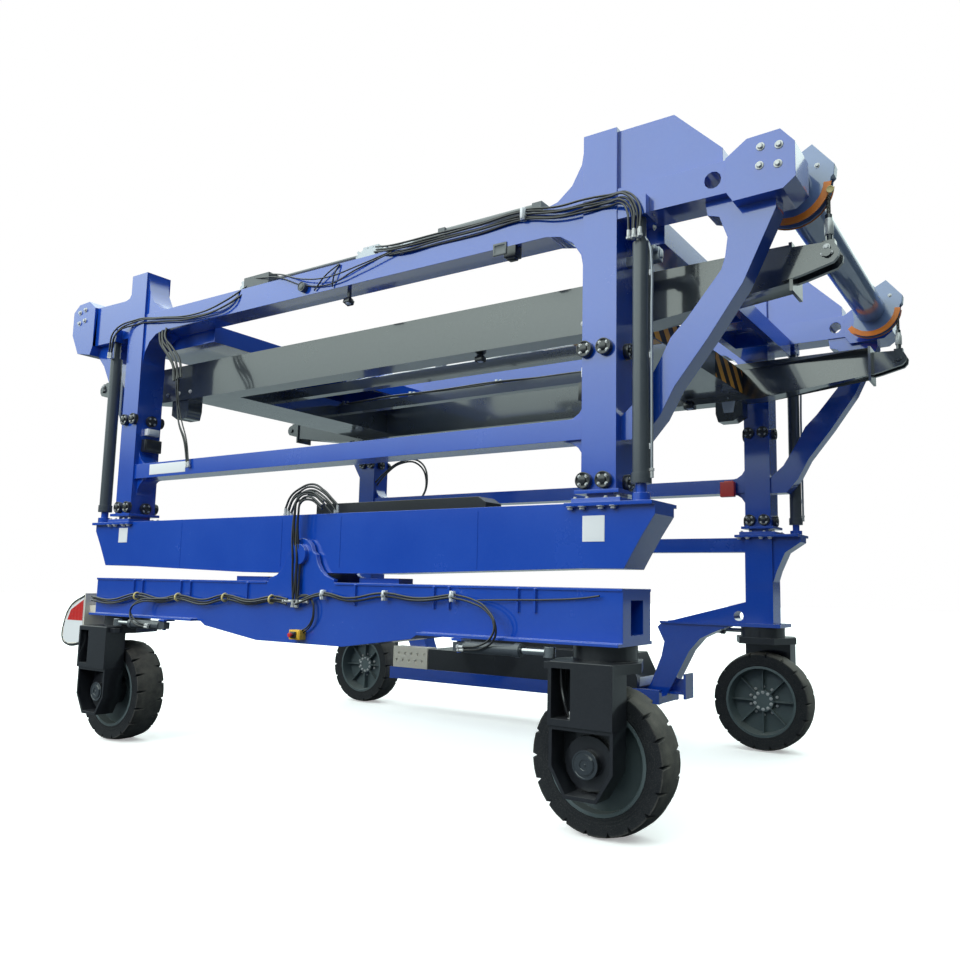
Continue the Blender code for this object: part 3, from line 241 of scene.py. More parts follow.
def buildCoatGroup():
    # sprayed enamel: a slow change of tone, dust on what faces up, and a fine orange peel
    group = newGroup(
        "sprayedCoat",
        [
            ("Paint", "Color", (0.5, 0.5, 0.5, 1)),
            ("Faded", "Color", (0.6, 0.6, 0.6, 1)),
            ("Dust", "Color", (0.5, 0.5, 0.5, 1)),
            ("Dusting", "Float", 0.2),
            ("Sheen", "Float", 0.25),
        ],
        [("Colour", "Color"), ("Roughness", "Float"), ("Peel", "Float")],
    )
    given = addNode(group, "NodeGroupInput")
    out = addNode(group, "NodeGroupOutput")
    place = addNode(group, "ShaderNodeTexCoord").outputs["Object"]
    slow = noiseNode(group, place, 1.3, 4.0, 0.6)
    cloud = rangeNode(group, slow, 0.35, 0.7)
    fade = mathNode(group, "MULTIPLY", cloud, 0.55)
    tone = blendNode(group, fade, given.outputs["Paint"], given.outputs["Faded"])
    facing = addNode(group, "ShaderNodeNewGeometry").outputs["Normal"]
    split = addNode(group, "ShaderNodeSeparateXYZ")
    group.links.new(facing, split.inputs[0])
    upward = rangeNode(group, split.outputs["Z"], 0.35, 0.95)
    specks = rangeNode(group, noiseNode(group, place, 38.0, 5.0, 0.7), 0.42, 0.75)
    film = rangeNode(group, noiseNode(group, place, 5.0, 4.0, 0.6), 0.3, 0.75, 0.35, 1.0)
    lying = mathNode(group, "MULTIPLY", upward, film)
    grains = mathNode(group, "MULTIPLY", specks, 0.25)
    dust = mathNode(group, "ADD", lying, grains, True)
    dust = mathNode(group, "MULTIPLY", dust, given.outputs["Dusting"])
    group.links.new(blendNode(group, dust, tone, given.outputs["Dust"]), out.inputs["Colour"])
    rough = mathNode(group, "ADD", given.outputs["Sheen"], mathNode(group, "MULTIPLY", cloud, 0.08))
    rough = mathNode(group, "ADD", rough, mathNode(group, "MULTIPLY", dust, 0.6), True)
    group.links.new(rough, out.inputs["Roughness"])
    group.links.new(noiseNode(group, place, 260.0, 2.0), out.inputs["Peel"])
    return group


def buildWheelGroup():
    # distance from a wheel's axle, the same for all four wheels
    group = newGroup("wheelPlaces", [], [("Radius", "Float")])
    out = addNode(group, "NodeGroupOutput")
    split = addNode(group, "ShaderNodeSeparateXYZ")
    group.links.new(addNode(group, "ShaderNodeTexCoord").outputs["Object"], split.inputs[0])
    fromMiddle = mathNode(group, "ABSOLUTE", mathNode(group, "SUBTRACT", split.outputs["X"], middleX))
    along = mathNode(group, "SUBTRACT", fromMiddle, wheelPlaces["alongX"])
    above = mathNode(group, "SUBTRACT", split.outputs["Z"], wheelPlaces["axleZ"])
    alongSquared = mathNode(group, "MULTIPLY", along, along)
    aboveSquared = mathNode(group, "MULTIPLY", above, above)
    squares = mathNode(group, "ADD", alongSquared, aboveSquared)
    group.links.new(mathNode(group, "SQRT", squares), out.inputs["Radius"])
    return group


coatGroup = buildCoatGroup()
wheelGroup = buildWheelGroup()

coats = {
    # paint, faded, dust, dusting, sheen, metallic, coat, peel
    "blueEnamel": ((0.003, 0.058, 0.45), (0.005, 0.075, 0.52), (0.16, 0.24, 0.42), 0.1, 0.2, 0.0, 0.9, 0.015),
    "blackEnamel": ((0.01, 0.011, 0.015), (0.018, 0.02, 0.028), (0.14, 0.14, 0.15), 0.16, 0.32, 0.0, 0.35, 0.03),
    "slateEnamel": ((0.018, 0.024, 0.032), (0.028, 0.036, 0.046), (0.18, 0.2, 0.22), 0.12, 0.26, 0.0, 0.9, 0.02),
    "rimEnamel": ((0.085, 0.115, 0.125), (0.12, 0.155, 0.165), (0.22, 0.22, 0.2), 0.45, 0.42, 0.0, 0.1, 0.05),
    "greyEnamel": ((0.1, 0.11, 0.12), (0.15, 0.16, 0.17), (0.3, 0.3, 0.3), 0.3, 0.35, 0.2, 0.2, 0.03),
    "lightEnamel": ((0.66, 0.62, 0.54), (0.74, 0.7, 0.63), (0.4, 0.38, 0.34), 0.35, 0.42, 0.0, 0.1, 0.03),
    "cylinderEnamel": ((0.05, 0.06, 0.075), (0.075, 0.088, 0.1), (0.2, 0.2, 0.2), 0.25, 0.32, 0.0, 0.3, 0.03),
    "hoseRubber": ((0.012, 0.012, 0.014), (0.022, 0.022, 0.024), (0.12, 0.12, 0.12), 0.3, 0.38, 0.0, 0.35, 0.05),
    "zincSteel": ((0.6, 0.61, 0.62), (0.72, 0.72, 0.72), (0.3, 0.3, 0.3), 0.2, 0.3, 0.35, 0.0, 0.05),
    "orangeBand": ((0.86, 0.22, 0.015), (0.95, 0.32, 0.03), (0.45, 0.3, 0.2), 0.2, 0.4, 0.0, 0.1, 0.03),
    "yellowClip": ((0.74, 0.42, 0.03), (0.82, 0.5, 0.06), (0.35, 0.3, 0.2), 0.3, 0.45, 0.0, 0.0, 0.03),
    "whitePlate": ((0.78, 0.8, 0.84), (0.84, 0.85, 0.87), (0.55, 0.56, 0.6), 0.2, 0.4, 0.0, 0.1, 0.02),
    "redPlastic": ((0.55, 0.012, 0.012), (0.65, 0.03, 0.02), (0.4, 0.15, 0.12), 0.15, 0.25, 0.0, 0.4, 0.02),
    # torque tubes and sheaves: the frame's blue made lighter and greyer, a painted reflection of the bright sky
    # on their round paint
    "tubeEnamelPaintedGlare": ((0.12, 0.19, 0.4), (0.16, 0.24, 0.46), (0.34, 0.38, 0.44), 0.2, 0.3, 0.0, 0.9, 0.02),
    "creamClip": ((0.72, 0.58, 0.22), (0.8, 0.68, 0.34), (0.4, 0.36, 0.26), 0.25, 0.4, 0.0, 0.1, 0.03),
    "pipeSteel": ((0.4, 0.43, 0.48), (0.55, 0.58, 0.62), (0.3, 0.3, 0.3), 0.2, 0.28, 0.6, 0.0, 0.03),
}


def newMaterial(name):
    material = bpy.data.materials.new(name)
    material.use_nodes = True
    return material, material.node_tree, material.node_tree.nodes["Principled BSDF"]


def addPeel(tree, shader, height, strength, distance=0.002):
    bump = addNode(tree, "ShaderNodeBump")
    bump.inputs["Strength"].default_value = strength
    bump.inputs["Distance"].default_value = distance
    tree.links.new(height, bump.inputs["Height"])
    tree.links.new(bump.outputs["Normal"], shader.inputs["Normal"])


def makeCoat(name):
    paint, faded, dust, dusting, sheen, metallic, coat, peel = coats[name]
    material, tree, shader = newMaterial(name)
    effect = addNode(tree, "ShaderNodeGroup", node_tree=coatGroup)
    for title, colour in (("Paint", paint), ("Faded", faded), ("Dust", dust)):
        effect.inputs[title].default_value = (*colour, 1)
    effect.inputs["Dusting"].default_value = dusting
    effect.inputs["Sheen"].default_value = sheen
    tree.links.new(effect.outputs["Colour"], shader.inputs["Base Color"])
    tree.links.new(effect.outputs["Roughness"], shader.inputs["Roughness"])
    addPeel(tree, shader, effect.outputs["Peel"], peel)
    shader.inputs["Metallic"].default_value = metallic
    shader.inputs["Coat Weight"].default_value = coat
    shader.inputs["Coat Roughness"].default_value = 0.08
    shader.inputs["Coat IOR"].default_value = 2.1
    return material


def makeTyreRubber():
    # dusty tread, darker side walls with a few moulded rings
    material, tree, shader = newMaterial("tyreRubber")
    wheel = addNode(tree, "ShaderNodeGroup", node_tree=wheelGroup)
    place = addNode(tree, "ShaderNodeTexCoord").outputs["Object"]
    grime = rangeNode(tree, noiseNode(tree, place, 9.0, 6.0, 0.65), 0.3, 0.72)
    fine = noiseNode(tree, place, 120.0, 4.0, 0.7)
    tread = rangeNode(tree, wheel.outputs["Radius"], 0.525, 0.552)
    wall = blendNode(tree, grime, (0.008, 0.010, 0.014, 1), (0.022, 0.024, 0.028, 1))
    crown = blendNode(tree, grime, (0.070, 0.068, 0.064, 1), (0.17, 0.16, 0.14, 1))
    colour = blendNode(tree, tread, wall, crown)
    colour = blendNode(tree, rangeNode(tree, fine, 0.5, 0.8, 0.0, 0.35), colour, (0.16, 0.15, 0.14, 1))
    tree.links.new(colour, shader.inputs["Base Color"])
    tree.links.new(rangeNode(tree, grime, 0.0, 1.0, 0.55, 0.85), shader.inputs["Roughness"])
    rings = mathNode(tree, "SINE", mathNode(tree, "MULTIPLY", wheel.outputs["Radius"], 260.0))
    rings = mathNode(tree, "MULTIPLY", rings, mathNode(tree, "LESS_THAN", wheel.outputs["Radius"], 0.47))
    height = mathNode(tree, "ADD", mathNode(tree, "MULTIPLY", rings, 0.3), fine)
    addPeel(tree, shader, height, 0.5, 0.004)
    shader.inputs["Specular IOR Level"].default_value = 0.35
    return material


def makeChrome():
    material, tree, shader = newMaterial("chromeRod")
    place = addNode(tree, "ShaderNodeTexCoord").outputs["Object"]
    film = rangeNode(tree, noiseNode(tree, place, 14.0, 4.0), 0.3, 0.75)
    colour = blendNode(tree, film, (0.72, 0.73, 0.75, 1), (0.55, 0.55, 0.56, 1))
    tree.links.new(colour, shader.inputs["Base Color"])
    tree.links.new(rangeNode(tree, film, 0.0, 1.0, 0.08, 0.28), shader.inputs["Roughness"])
    shader.inputs["Metallic"].default_value = 1.0
    return material


def makeWireRope():
    # strands that wind round the rope, from its height and a fine wave
    material, tree, shader = newMaterial("wireRope")
    place = addNode(tree, "ShaderNodeTexCoord").outputs["Object"]
    wave = addNode(tree, "ShaderNodeTexWave", wave_type="BANDS", bands_direction="DIAGONAL")
    wave.inputs["Scale"].default_value = 45.0
    tree.links.new(place, wave.inputs["Vector"])
    strands = wave.outputs["Fac"]
    colour = blendNode(tree, strands, (0.05, 0.048, 0.045, 1), (0.30, 0.29, 0.27, 1))
    tree.links.new(colour, shader.inputs["Base Color"])
    tree.links.new(rangeNode(tree, strands, 0.0, 1.0, 0.65, 0.4), shader.inputs["Roughness"])
    shader.inputs["Metallic"].default_value = 0.7
    addPeel(tree, shader, strands, 0.8, 0.004)
    return material


def makeHazardPaint():
    # slanted orange and black stripes
    material, tree, shader = newMaterial("hazardPaint")
    place = addNode(tree, "ShaderNodeTexCoord").outputs["Object"]
    split = addNode(tree, "ShaderNodeSeparateXYZ")
    tree.links.new(place, split.inputs[0])
    slant = mathNode(tree, "ADD", split.outputs["Y"], split.outputs["Z"])
    cycle = mathNode(tree, "FRACT", mathNode(tree, "MULTIPLY", mathNode(tree, "ADD", slant, 10.0), 3.3))
    band = rangeNode(tree, cycle, 0.49, 0.51)
    wear = rangeNode(tree, noiseNode(tree, place, 30.0, 5.0, 0.7), 0.55, 0.75, 0.0, 0.4)
    stripes = blendNode(tree, band, (0.95, 0.42, 0.06, 1), (0.014, 0.014, 0.016, 1))
    tree.links.new(blendNode(tree, wear, stripes, (0.10, 0.10, 0.11, 1)), shader.inputs["Base Color"])
    tree.links.new(rangeNode(tree, wear, 0.0, 0.4, 0.35, 0.6), shader.inputs["Roughness"])
    return material


finish = {name: makeCoat(name) for name in coats}
finish["tyreRubber"] = makeTyreRubber()
finish["chromeRod"] = makeChrome()
finish["wireRope"] = makeWireRope()
finish["hazardPaint"] = makeHazardPaint()
print("finishes are mixed")


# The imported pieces: finishes, rounded edges

nodeFinish = {
    "blue_paint": "blueEnamel",
    "black_paint": "blackEnamel",
    "spreader_paint": "slateEnamel",
    "tyre_rubber": "tyreRubber",
    "rim_paint": "rimEnamel",
    "chrome": "chromeRod",
    "steel_rope": "wireRope",
    "grey_paint": "greyEnamel",
    "light_paint": "lightEnamel",
    "red_lens": "redPlastic",
}
rounding = {"weld": 0.0001, "flat": 0.5, "width": 0.004, "rounds": 2, "corner": 32}


def dressNodes():
    slots = {part["node"]: part["material_slot"] for part in frame["record"]["subparts"]}
    for name, node in nodes.items():
        node.data.materials.clear()
        title = nodeFinish[slots[name]]
        if name.startswith(("lift_barrel", "steer_barrel")):
            title = "cylinderEnamel"
        # the torque tubes take the lighter blue that carries a painted sky reflection
        if name.startswith("torque_tube"):
            title = "tubeEnamelPaintedGlare"
        node.data.materials.append(finish[title])
        for face in node.data.polygons:
            face.use_smooth = True
        weld = node.modifiers.new("weld", "WELD")
        weld.merge_threshold = rounding["weld"]
        flat = node.modifiers.new("flat", "DECIMATE")
        flat.decimate_type = "DISSOLVE"
        flat.angle_limit = math.radians(rounding["flat"])
        bevel = node.modifiers.new("soften", "BEVEL")
        bevel.width = rounding["width"]
        bevel.segments = rounding["rounds"]
        bevel.angle_limit = math.radians(rounding["corner"])
        bevel.use_clamp_overlap = True
        even = node.modifiers.new("even", "WEIGHTED_NORMAL")
        even.weight = 50
        even.mode = "FACE_AREA_WITH_ANGLE"


addCamera()
addStudio()
print("camera, floor and light are set")
dressNodes()
print("packed pieces are dressed")


# Modelling by hand

def clearChoice():
    if bpy.context.object and bpy.context.object.mode == "EDIT":
        bpy.ops.object.mode_set(mode="OBJECT")
    bpy.ops.object.select_all(action="DESELECT")


def openForm(name):
    # the new primitive keeps its place in its mesh and is opened with nothing chosen
    form = bpy.context.object
    form.name = name
    bpy.ops.object.transform_apply(location=True, rotation=True, scale=True)
    bpy.ops.object.mode_set(mode="EDIT")
    bpy.ops.mesh.select_mode(type="FACE")
    bpy.ops.mesh.select_all(action="DESELECT")
    return form


def startBlock(name, low, high):
    clearChoice()
    middle = [(a + b) / 2 for a, b in zip(low, high)]
    size = [b - a for a, b in zip(low, high)]
    bpy.ops.mesh.primitive_cube_add(size=1, location=middle, scale=size)
    return openForm(name)


axisTurns = {"X": (0, math.pi / 2, 0), "Y": (math.pi / 2, 0, 0), "Z": (0, 0, 0)}


def startDrum(name, middle, radius, length, corners, axis="Z"):
    clearChoice()
    turn = axisTurns[axis]
    bpy.ops.mesh.primitive_cylinder_add(
        vertices=corners, radius=radius, depth=length, location=middle, rotation=turn
    )
    return openForm(name)


def pickFaces(form, test):
    bpy.ops.mesh.select_all(action="DESELECT")
    sketch = bmesh.from_edit_mesh(form.data)
    for face in sketch.faces:
        if test(face.calc_center_median(), face.normal):
            face.select_set(True)
    bmesh.update_edit_mesh(form.data)


def pushFaces(form, test, inset, push):
    # narrow the chosen faces, then pull them out or in along the axis they face
    pickFaces(form, test)
    bpy.ops.mesh.inset(thickness=inset, depth=0)
    bpy.ops.mesh.extrude_region_move(TRANSFORM_OT_translate={"value": push})


def closeForm(form, width=0.0, rounds=2, corner=32, smooth=35):
    bpy.ops.object.mode_set(mode="OBJECT")
    if width:
        soften = form.modifiers.new("soften", "BEVEL")
        soften.width = width
        soften.segments = rounds
        soften.angle_limit = math.radians(corner)
        bpy.ops.object.modifier_apply(modifier="soften")
    bpy.ops.object.shade_smooth_by_angle(angle=math.radians(smooth))


def paint(form, material):
    form.data.materials.clear()
    form.data.materials.append(finish[material])
    return form


def hold(form, body):
    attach(form, body)
    return form


def copyAt(form, place, facing, size=1.0, spin=0.0):
    # a copy with its own mesh, its +Z turned to face a way
    made = form.copy()
    made.data = form.data.copy()
    scene.collection.objects.link(made)
    turn = Vector(facing).to_track_quat("Z", "Y").to_matrix().to_4x4()
    own = Matrix.Rotation(spin, 4, "Z") @ Matrix.Scale(size, 4)
    made.data.transform(Matrix.Translation(place) @ turn @ own)
    return made


def joinForms(name, forms, body):
    clearChoice()
    for form in forms:
        form.select_set(True)
    bpy.context.view_layer.objects.active = forms[0]
    if len(forms) > 1:
        bpy.ops.object.join()
    whole = bpy.context.object
    whole.name = name
    return hold(whole, body) if body else whole


patterns = []   # modelled once, copied, and put away at the end


def keepPattern(form):
    patterns.append(form)
    return form


def tubes(name, lines, radius, material, body):
    curve = bpy.data.curves.new(name, "CURVE")
    curve.dimensions = "3D"
    curve.bevel_depth = radius
    curve.bevel_resolution = 2
    curve.resolution_u = 6
    curve.use_fill_caps = True
    for points in lines:
        spline = curve.splines.new("BEZIER")
        spline.bezier_points.add(len(points) - 1)
        for knot, place in zip(spline.bezier_points, points):
            knot.co = place
            knot.handle_left_type = "AUTO"
            knot.handle_right_type = "AUTO"
    form = bpy.data.objects.new(name, curve)
    scene.collection.objects.link(form)
    clearChoice()
    form.select_set(True)
    bpy.context.view_layer.objects.active = form
    bpy.ops.object.convert(target="MESH")
    form = bpy.context.object
    bpy.ops.object.shade_smooth()
    paint(form, material)
    return hold(form, body) if body else form


def bundle(route, depth, count, gap, sway):
    # hoses side by side along a route of X, Z and, where it isn't the common one, depth
    made = []
    for i in range(count):
        points = []
        for j, (x, z, *own) in enumerate(route):
            before = route[max(j - 1, 0)]
            after = route[min(j + 1, len(route) - 1)]
            along = Vector((after[0] - before[0], after[1] - before[1]))
            along.normalize()
            shift = (i - (count - 1) / 2) * gap + sway * math.sin(1.9 * j + 2.3 * i)
            lift = 0.5 * gap * math.cos(1.3 * j + 2.9 * i)
            points.append(at(x - along.y * shift, (own[0] if own else depth) - lift, z + along.x * shift))
        made.append(points)
    return made


# Patterns: what repeats is modelled once here and copied

boltSizes = {"washer": 0.021, "head": 0.0135, "seat": 0.004, "high": 0.012}


def modelBolt():
    sizes = boltSizes
    form = startDrum("boltPattern", (0, 0, sizes["seat"] / 2), sizes["washer"], sizes["seat"], 12)
    pickFaces(form, lambda middle, normal: normal.z > 0.9)
    bpy.ops.mesh.bevel(offset=0.0012, segments=1)
    bpy.ops.mesh.select_all(action="DESELECT")
    top = sizes["seat"] + sizes["high"] / 2
    bpy.ops.mesh.primitive_cylinder_add(
        vertices=6, radius=sizes["head"], depth=sizes["high"], location=(0, 0, top)
    )
    pickFaces(form, lambda middle, normal: normal.z > 0.9 and middle.z > sizes["high"])
    bpy.ops.mesh.bevel(offset=0.002, segments=1)
    closeForm(form)
    return keepPattern(paint(form, "zincSteel"))


padSizes = {"radius": 0.066, "thick": 0.045}


def modelPad():
    # the round housing of a guide roller, with its raised middle
    sizes = padSizes
    form = startDrum("padPattern", (0, 0, sizes["thick"] / 2), sizes["radius"], sizes["thick"], 28)
    pushFaces(form, lambda middle, normal: normal.z > 0.9, 0.012, (0, 0, -0.006))
    pushFaces(form, lambda middle, normal: normal.z > 0.9 and middle.xy.length < 0.01, 0.024, (0, 0, 0.016))
    closeForm(form, 0.002)
    return keepPattern(paint(form, "blackEnamel"))


def modelHoseEnd():
    # a swaged sleeve, a union nut and a nipple
    form = startDrum("hoseEndPattern", (0, 0, 0.03), 0.018, 0.06, 12)
    pushFaces(form, lambda middle, normal: normal.z > 0.9, 0.004, (0, 0, 0.008))
    bpy.ops.mesh.select_all(action="DESELECT")
    bpy.ops.mesh.primitive_cylinder_add(vertices=6, radius=0.024, depth=0.026, location=(0, 0, 0.078))
    pickFaces(form, lambda middle, normal: middle.z > 0.066 and normal.z > 0.9)
    bpy.ops.mesh.bevel(offset=0.002, segments=1)
    closeForm(form)
    return keepPattern(paint(form, "zincSteel"))


def modelRing(name, material):
    # a loop round the hoses on a small foot
    clearChoice()
    bpy.ops.mesh.primitive_torus_add(
        major_radius=0.038,
        minor_radius=0.010,
        major_segments=24,
        minor_segments=8,
        rotation=(0, math.pi / 2, 0),
    )
    form = openForm(name)
    pickFaces(form, lambda middle, normal: middle.z < -0.044 and abs(middle.y) < 0.014)
    bpy.ops.mesh.extrude_region_move(TRANSFORM_OT_translate={"value": (0, 0, -0.006)})
    bpy.ops.transform.resize(value=(1.3, 1.6, 0.1))
    closeForm(form)
    return keepPattern(paint(form, material))


def modelClip(name, material):
    # a split block round the hoses, with a rounded outer side
    form = startBlock(name, (-0.017, -0.045, 0), (0.017, 0.045, 0.04))
    pickFaces(form, lambda middle, normal: normal.z > 0.9)
    bpy.ops.mesh.inset(thickness=0.006, depth=0)
    bpy.ops.mesh.extrude_region_move(TRANSFORM_OT_translate={"value": (0, 0, 0.012)})
    pickFaces(form, lambda middle, normal: abs(normal.y) > 0.9)
    bpy.ops.mesh.inset(thickness=0.005, depth=-0.003)
    closeForm(form, 0.004)
    return keepPattern(paint(form, material))


def modelLamp():
    # a square work lamp: stepped back, bright lens in a dark frame
    form = startBlock("lampCase", (-0.05, -0.05, 0), (0.05, 0.05, 0.06))
    pushFaces(form, lambda middle, normal: normal.z < -0.9, 0.014, (0, 0, -0.02))
    pushFaces(form, lambda middle, normal: normal.z > 0.9, 0.008, (0, 0, -0.01))
    closeForm(form, 0.004)
    paint(form, "blackEnamel")
    lens = startDrum("lampLens", (0, 0, 0.048), 0.036, 0.02, 20)
    pushFaces(lens, lambda middle, normal: normal.z > 0.9, 0.008, (0, 0, 0.004))
    closeForm(lens, 0.002)
    paint(lens, "whitePlate")
    return keepPattern(joinForms("lampCase", [form, lens], None))


def modelValve():
    # a valve block with two solenoid cans and a plugged side
    form = startBlock("valvePattern", (-0.06, -0.045, 0), (0.06, 0.045, 0.07))
    pickFaces(form, lambda middle, normal: normal.z > 0.9)
    bpy.ops.mesh.subdivide(number_cuts=1)
    pickFaces(form, lambda middle, normal: normal.z > 0.9 and middle.x * middle.y > 0)
    bpy.ops.mesh.inset(thickness=0.006, depth=0, use_individual=True)
    bpy.ops.mesh.extrude_region_move(TRANSFORM_OT_translate={"value": (0, 0, 0.05)})
    pickFaces(form, lambda middle, normal: abs(normal.x) > 0.9 and middle.z < 0.07)
    bpy.ops.mesh.inset(thickness=0.02, depth=0)
    bpy.ops.mesh.extrude_region_move(TRANSFORM_OT_translate={"value": (0, 0, 0)})
    bpy.ops.transform.resize(value=(1.2, 1, 1))
    closeForm(form, 0.003)
    return keepPattern(paint(form, "pipeSteel"))


def modelHubCap():
    # turned rings round the middle of the hub motor's cover
    form = startDrum("hubCapPattern", (0, 0, 0.004), 0.105, 0.008, 32)
    centre = lambda middle, normal: normal.z > 0.9 and middle.xy.length < 0.01
    for inset, push in ((0.012, -0.004), (0.018, 0.008), (0.006, 0.003), (0.03, -0.006), (0.03, 0.006)):
        pushFaces(form, centre, inset, (0, 0, push))
    closeForm(form, 0.001, 1)
    return keepPattern(paint(form, "slateEnamel"))


def modelDiscLamp():
    # a round lamp in a shallow can with a ring round its lens
    form = startDrum("discLampPattern", (0, 0, 0.025), 0.05, 0.05, 24)
    pushFaces(form, lambda middle, normal: normal.z > 0.9, 0.006, (0, 0, -0.006))
    pushFaces(form, lambda middle, normal: normal.z > 0.9 and middle.xy.length < 0.01, 0.014, (0, 0, 0.008))
    closeForm(form, 0.002)
    return keepPattern(paint(form, "greyEnamel"))


def modelSocket():
    # the swaged socket at a hanging rope's foot
    form = startDrum("socketPattern", (0, 0, 0.05), 0.034, 0.10, 20)
    pushFaces(form, lambda middle, normal: normal.z > 0.9, 0.006, (0, 0, 0.03))
    pushFaces(form, lambda middle, normal: normal.z > 0.9 and middle.z > 0.12, 0.007, (0, 0, 0.029))
    closeForm(form, 0.003)
    return keepPattern(paint(form, "zincSteel"))


def modelClump():
    # a sloping valve bank with its caps and a crown of hose ends
    form = startBlock("clumpPattern", (-0.2, -0.09, 0), (0.2, 0.09, 0.14))
    pickFaces(form, lambda middle, normal: normal.z > 0.9)
    bpy.ops.transform.resize(value=(0.6, 0.55, 1))
    bpy.ops.mesh.subdivide(number_cuts=2)
    pickFaces(form, lambda middle, normal: normal.z > 0.9)
    bpy.ops.mesh.inset(thickness=0.006, depth=0, use_individual=True)
    bpy.ops.mesh.extrude_region_move(TRANSFORM_OT_translate={"value": (0, 0, 0.03)})
    closeForm(form, 0.003)
    parts = [paint(form, "pipeSteel")]
    for i in range(7):
        turn = math.pi * (i + 0.5) / 7
        spot = Vector((0.17 * math.cos(turn), -0.03 - 0.05 * math.sin(turn), 0.08))
        parts.append(copyAt(hoseEnd, spot, (0.6 * math.cos(turn), -0.7 * math.sin(turn), 0.6), 0.9))
    parts.append(copyAt(valve, (-0.16, 0.0, 0.05), (-0.5, 0, 0.8), 0.8))
    parts.append(copyAt(valve, (0.16, 0.0, 0.05), (0.5, 0, 0.8), 0.8))
    return keepPattern(joinForms("clumpPattern", parts, None))


bolt = modelBolt()
hubCap = modelHubCap()
pad = modelPad()
hoseEnd = modelHoseEnd()
hoseRing = modelRing("hoseRingPattern", "creamClip")
hoseBlock = modelClip("hoseBlockPattern", "whitePlate")
lamp = modelLamp()
valve = modelValve()
discLamp = modelDiscLamp()
socket = modelSocket()
clump = modelClump()
print("patterns are modelled")


# Guide pads on the columns

padPlaces = {
    "heights": (2.665, 3.715),
    "acrossX": (2.995, 3.165),
    "sideY": 2.06,
    "boltRing": 0.045,
    "boltOut": 0.039,
}


def addPads():
    places = padPlaces
    for side, word in sides:
        made = []
        for end in (-1, 1):
            for z in places["heights"]:
                spots = []
                for x in places["acrossX"]:
                    spots.append((at(end * (x + 0.01), side * 2.241, z), (0, side, 0)))
                    spots.append((at(end * (x + 0.035), side * 1.919, z), (0, -side, 0)))
                spots.append((at(end * 3.269, side * places["sideY"], z - 0.01), (end, 0, 0)))
                spots.append((at(end * 2.971, side * places["sideY"], z - 0.01), (-end, 0, 0)))
                for place, facing in spots:
                    made.append(copyAt(pad, place, facing))
                    along = Vector(facing)
                    flat = along.cross(Vector((0, 0, 1)))
                    for i in range(4):
                        turn = math.pi / 4 + i * math.pi / 2
                        ring = places["boltRing"]
                        offset = flat * math.cos(turn) * ring + Vector((0, 0, 1)) * math.sin(turn) * ring
                        spot = place + offset + along * places["boltOut"]
                        made.append(copyAt(bolt, spot, facing, 0.72, 0.3 * i))
        joinForms(word + "GuidePads", made, "upper_frame")


addPads()
print("guide pads are on the columns")


# Bolts

boltPlaces = {
    "heads": {
        1: [(4.42, 5.01), (4.55, 4.99), (4.41, 4.87), (4.54, 4.85)],
        -1: [(4.32, 5.22), (4.20, 5.24), (4.32, 5.08), (4.20, 5.10)],
    },
    "feetX": (2.935, 3.04, 3.2, 3.305),
    "hubCircle": 0.098,
    "rimCircle": 0.16,
    "hubInner": 0.045,   # how far the hub's bolts stand inside the wheel's middle plane
    "capOuter": 0.3245,  # and the motor cover's rings outside it
}


def boltRing(middle, facing, radius, count, size):
    along = Vector(facing)
    flat = along.cross(Vector((0, 0, 1)))
    made = []
    for i in range(count):
        turn = 2 * math.pi * (i + 0.5) / count
        offset = flat * math.cos(turn) * radius + Vector((0, 0, 1)) * math.sin(turn) * radius
        made.append(copyAt(bolt, Vector(middle) + offset, facing, size, i))
    return made


def addFrameBolts():
    places = boltPlaces
    for side, word in sides:
        made = []
        for end in (-1, 1):
            for x, z in places["heads"][end]:
                made.append(copyAt(bolt, at(x if end > 0 else -x, side * 2.27, z), (0, side, 0), 1.5))
            for z in (4.64, 4.76):
                made.append(copyAt(bolt, at(end * 3.551, side * 2.16, z), (end, 0, 0), 1.1))
        joinForms(word + "HeadBolts", made, "upper_frame")
        body = "near_base" if side < 0 else "far_base"
        made = []
        for end in (-1, 1):
            for x in places["feetX"]:
                for y in (1.895, 2.268):
                    made.append(copyAt(bolt, at(end * x, side * y, 2.525), (0, 0, 1), 0.95, x))
                made.append(copyAt(bolt, at(end * (x - 0.03), side * 2.294, 2.462), (0, 0, -1), 1.6, x))
                made.append(copyAt(bolt, at(end * (x - 0.03), side * 1.866, 2.462), (0, 0, -1), 1.6, x))
        joinForms(word + "FootBolts", made, body)


def addWheelBolts():
    places = boltPlaces
    for side, sideWord in sides:
        for end, endWord in ends:
            corner = sideWord + "_" + endWord
            hub = at(end * wheelPlaces["alongX"], side * wheelPlaces["outY"], wheelPlaces["axleZ"])
            inner = hub + Vector((0, -side * places["hubInner"], 0))
            made = boltRing(inner, (0, -side, 0), places["hubCircle"], 10, 0.95)
            made += boltRing(hub, (0, -side, 0), places["rimCircle"], 10, 0.85)
            joinForms("hubBolts_" + corner, made, "wheel_" + corner)
            made = [copyAt(hubCap, hub + Vector((0, side * places["capOuter"], 0)), (0, side, 0))]
            joinForms("hubCap_" + corner, made, "fork_" + corner)


addFrameBolts()
addWheelBolts()
print("bolts are in")


# Hoses, pipes and their clips

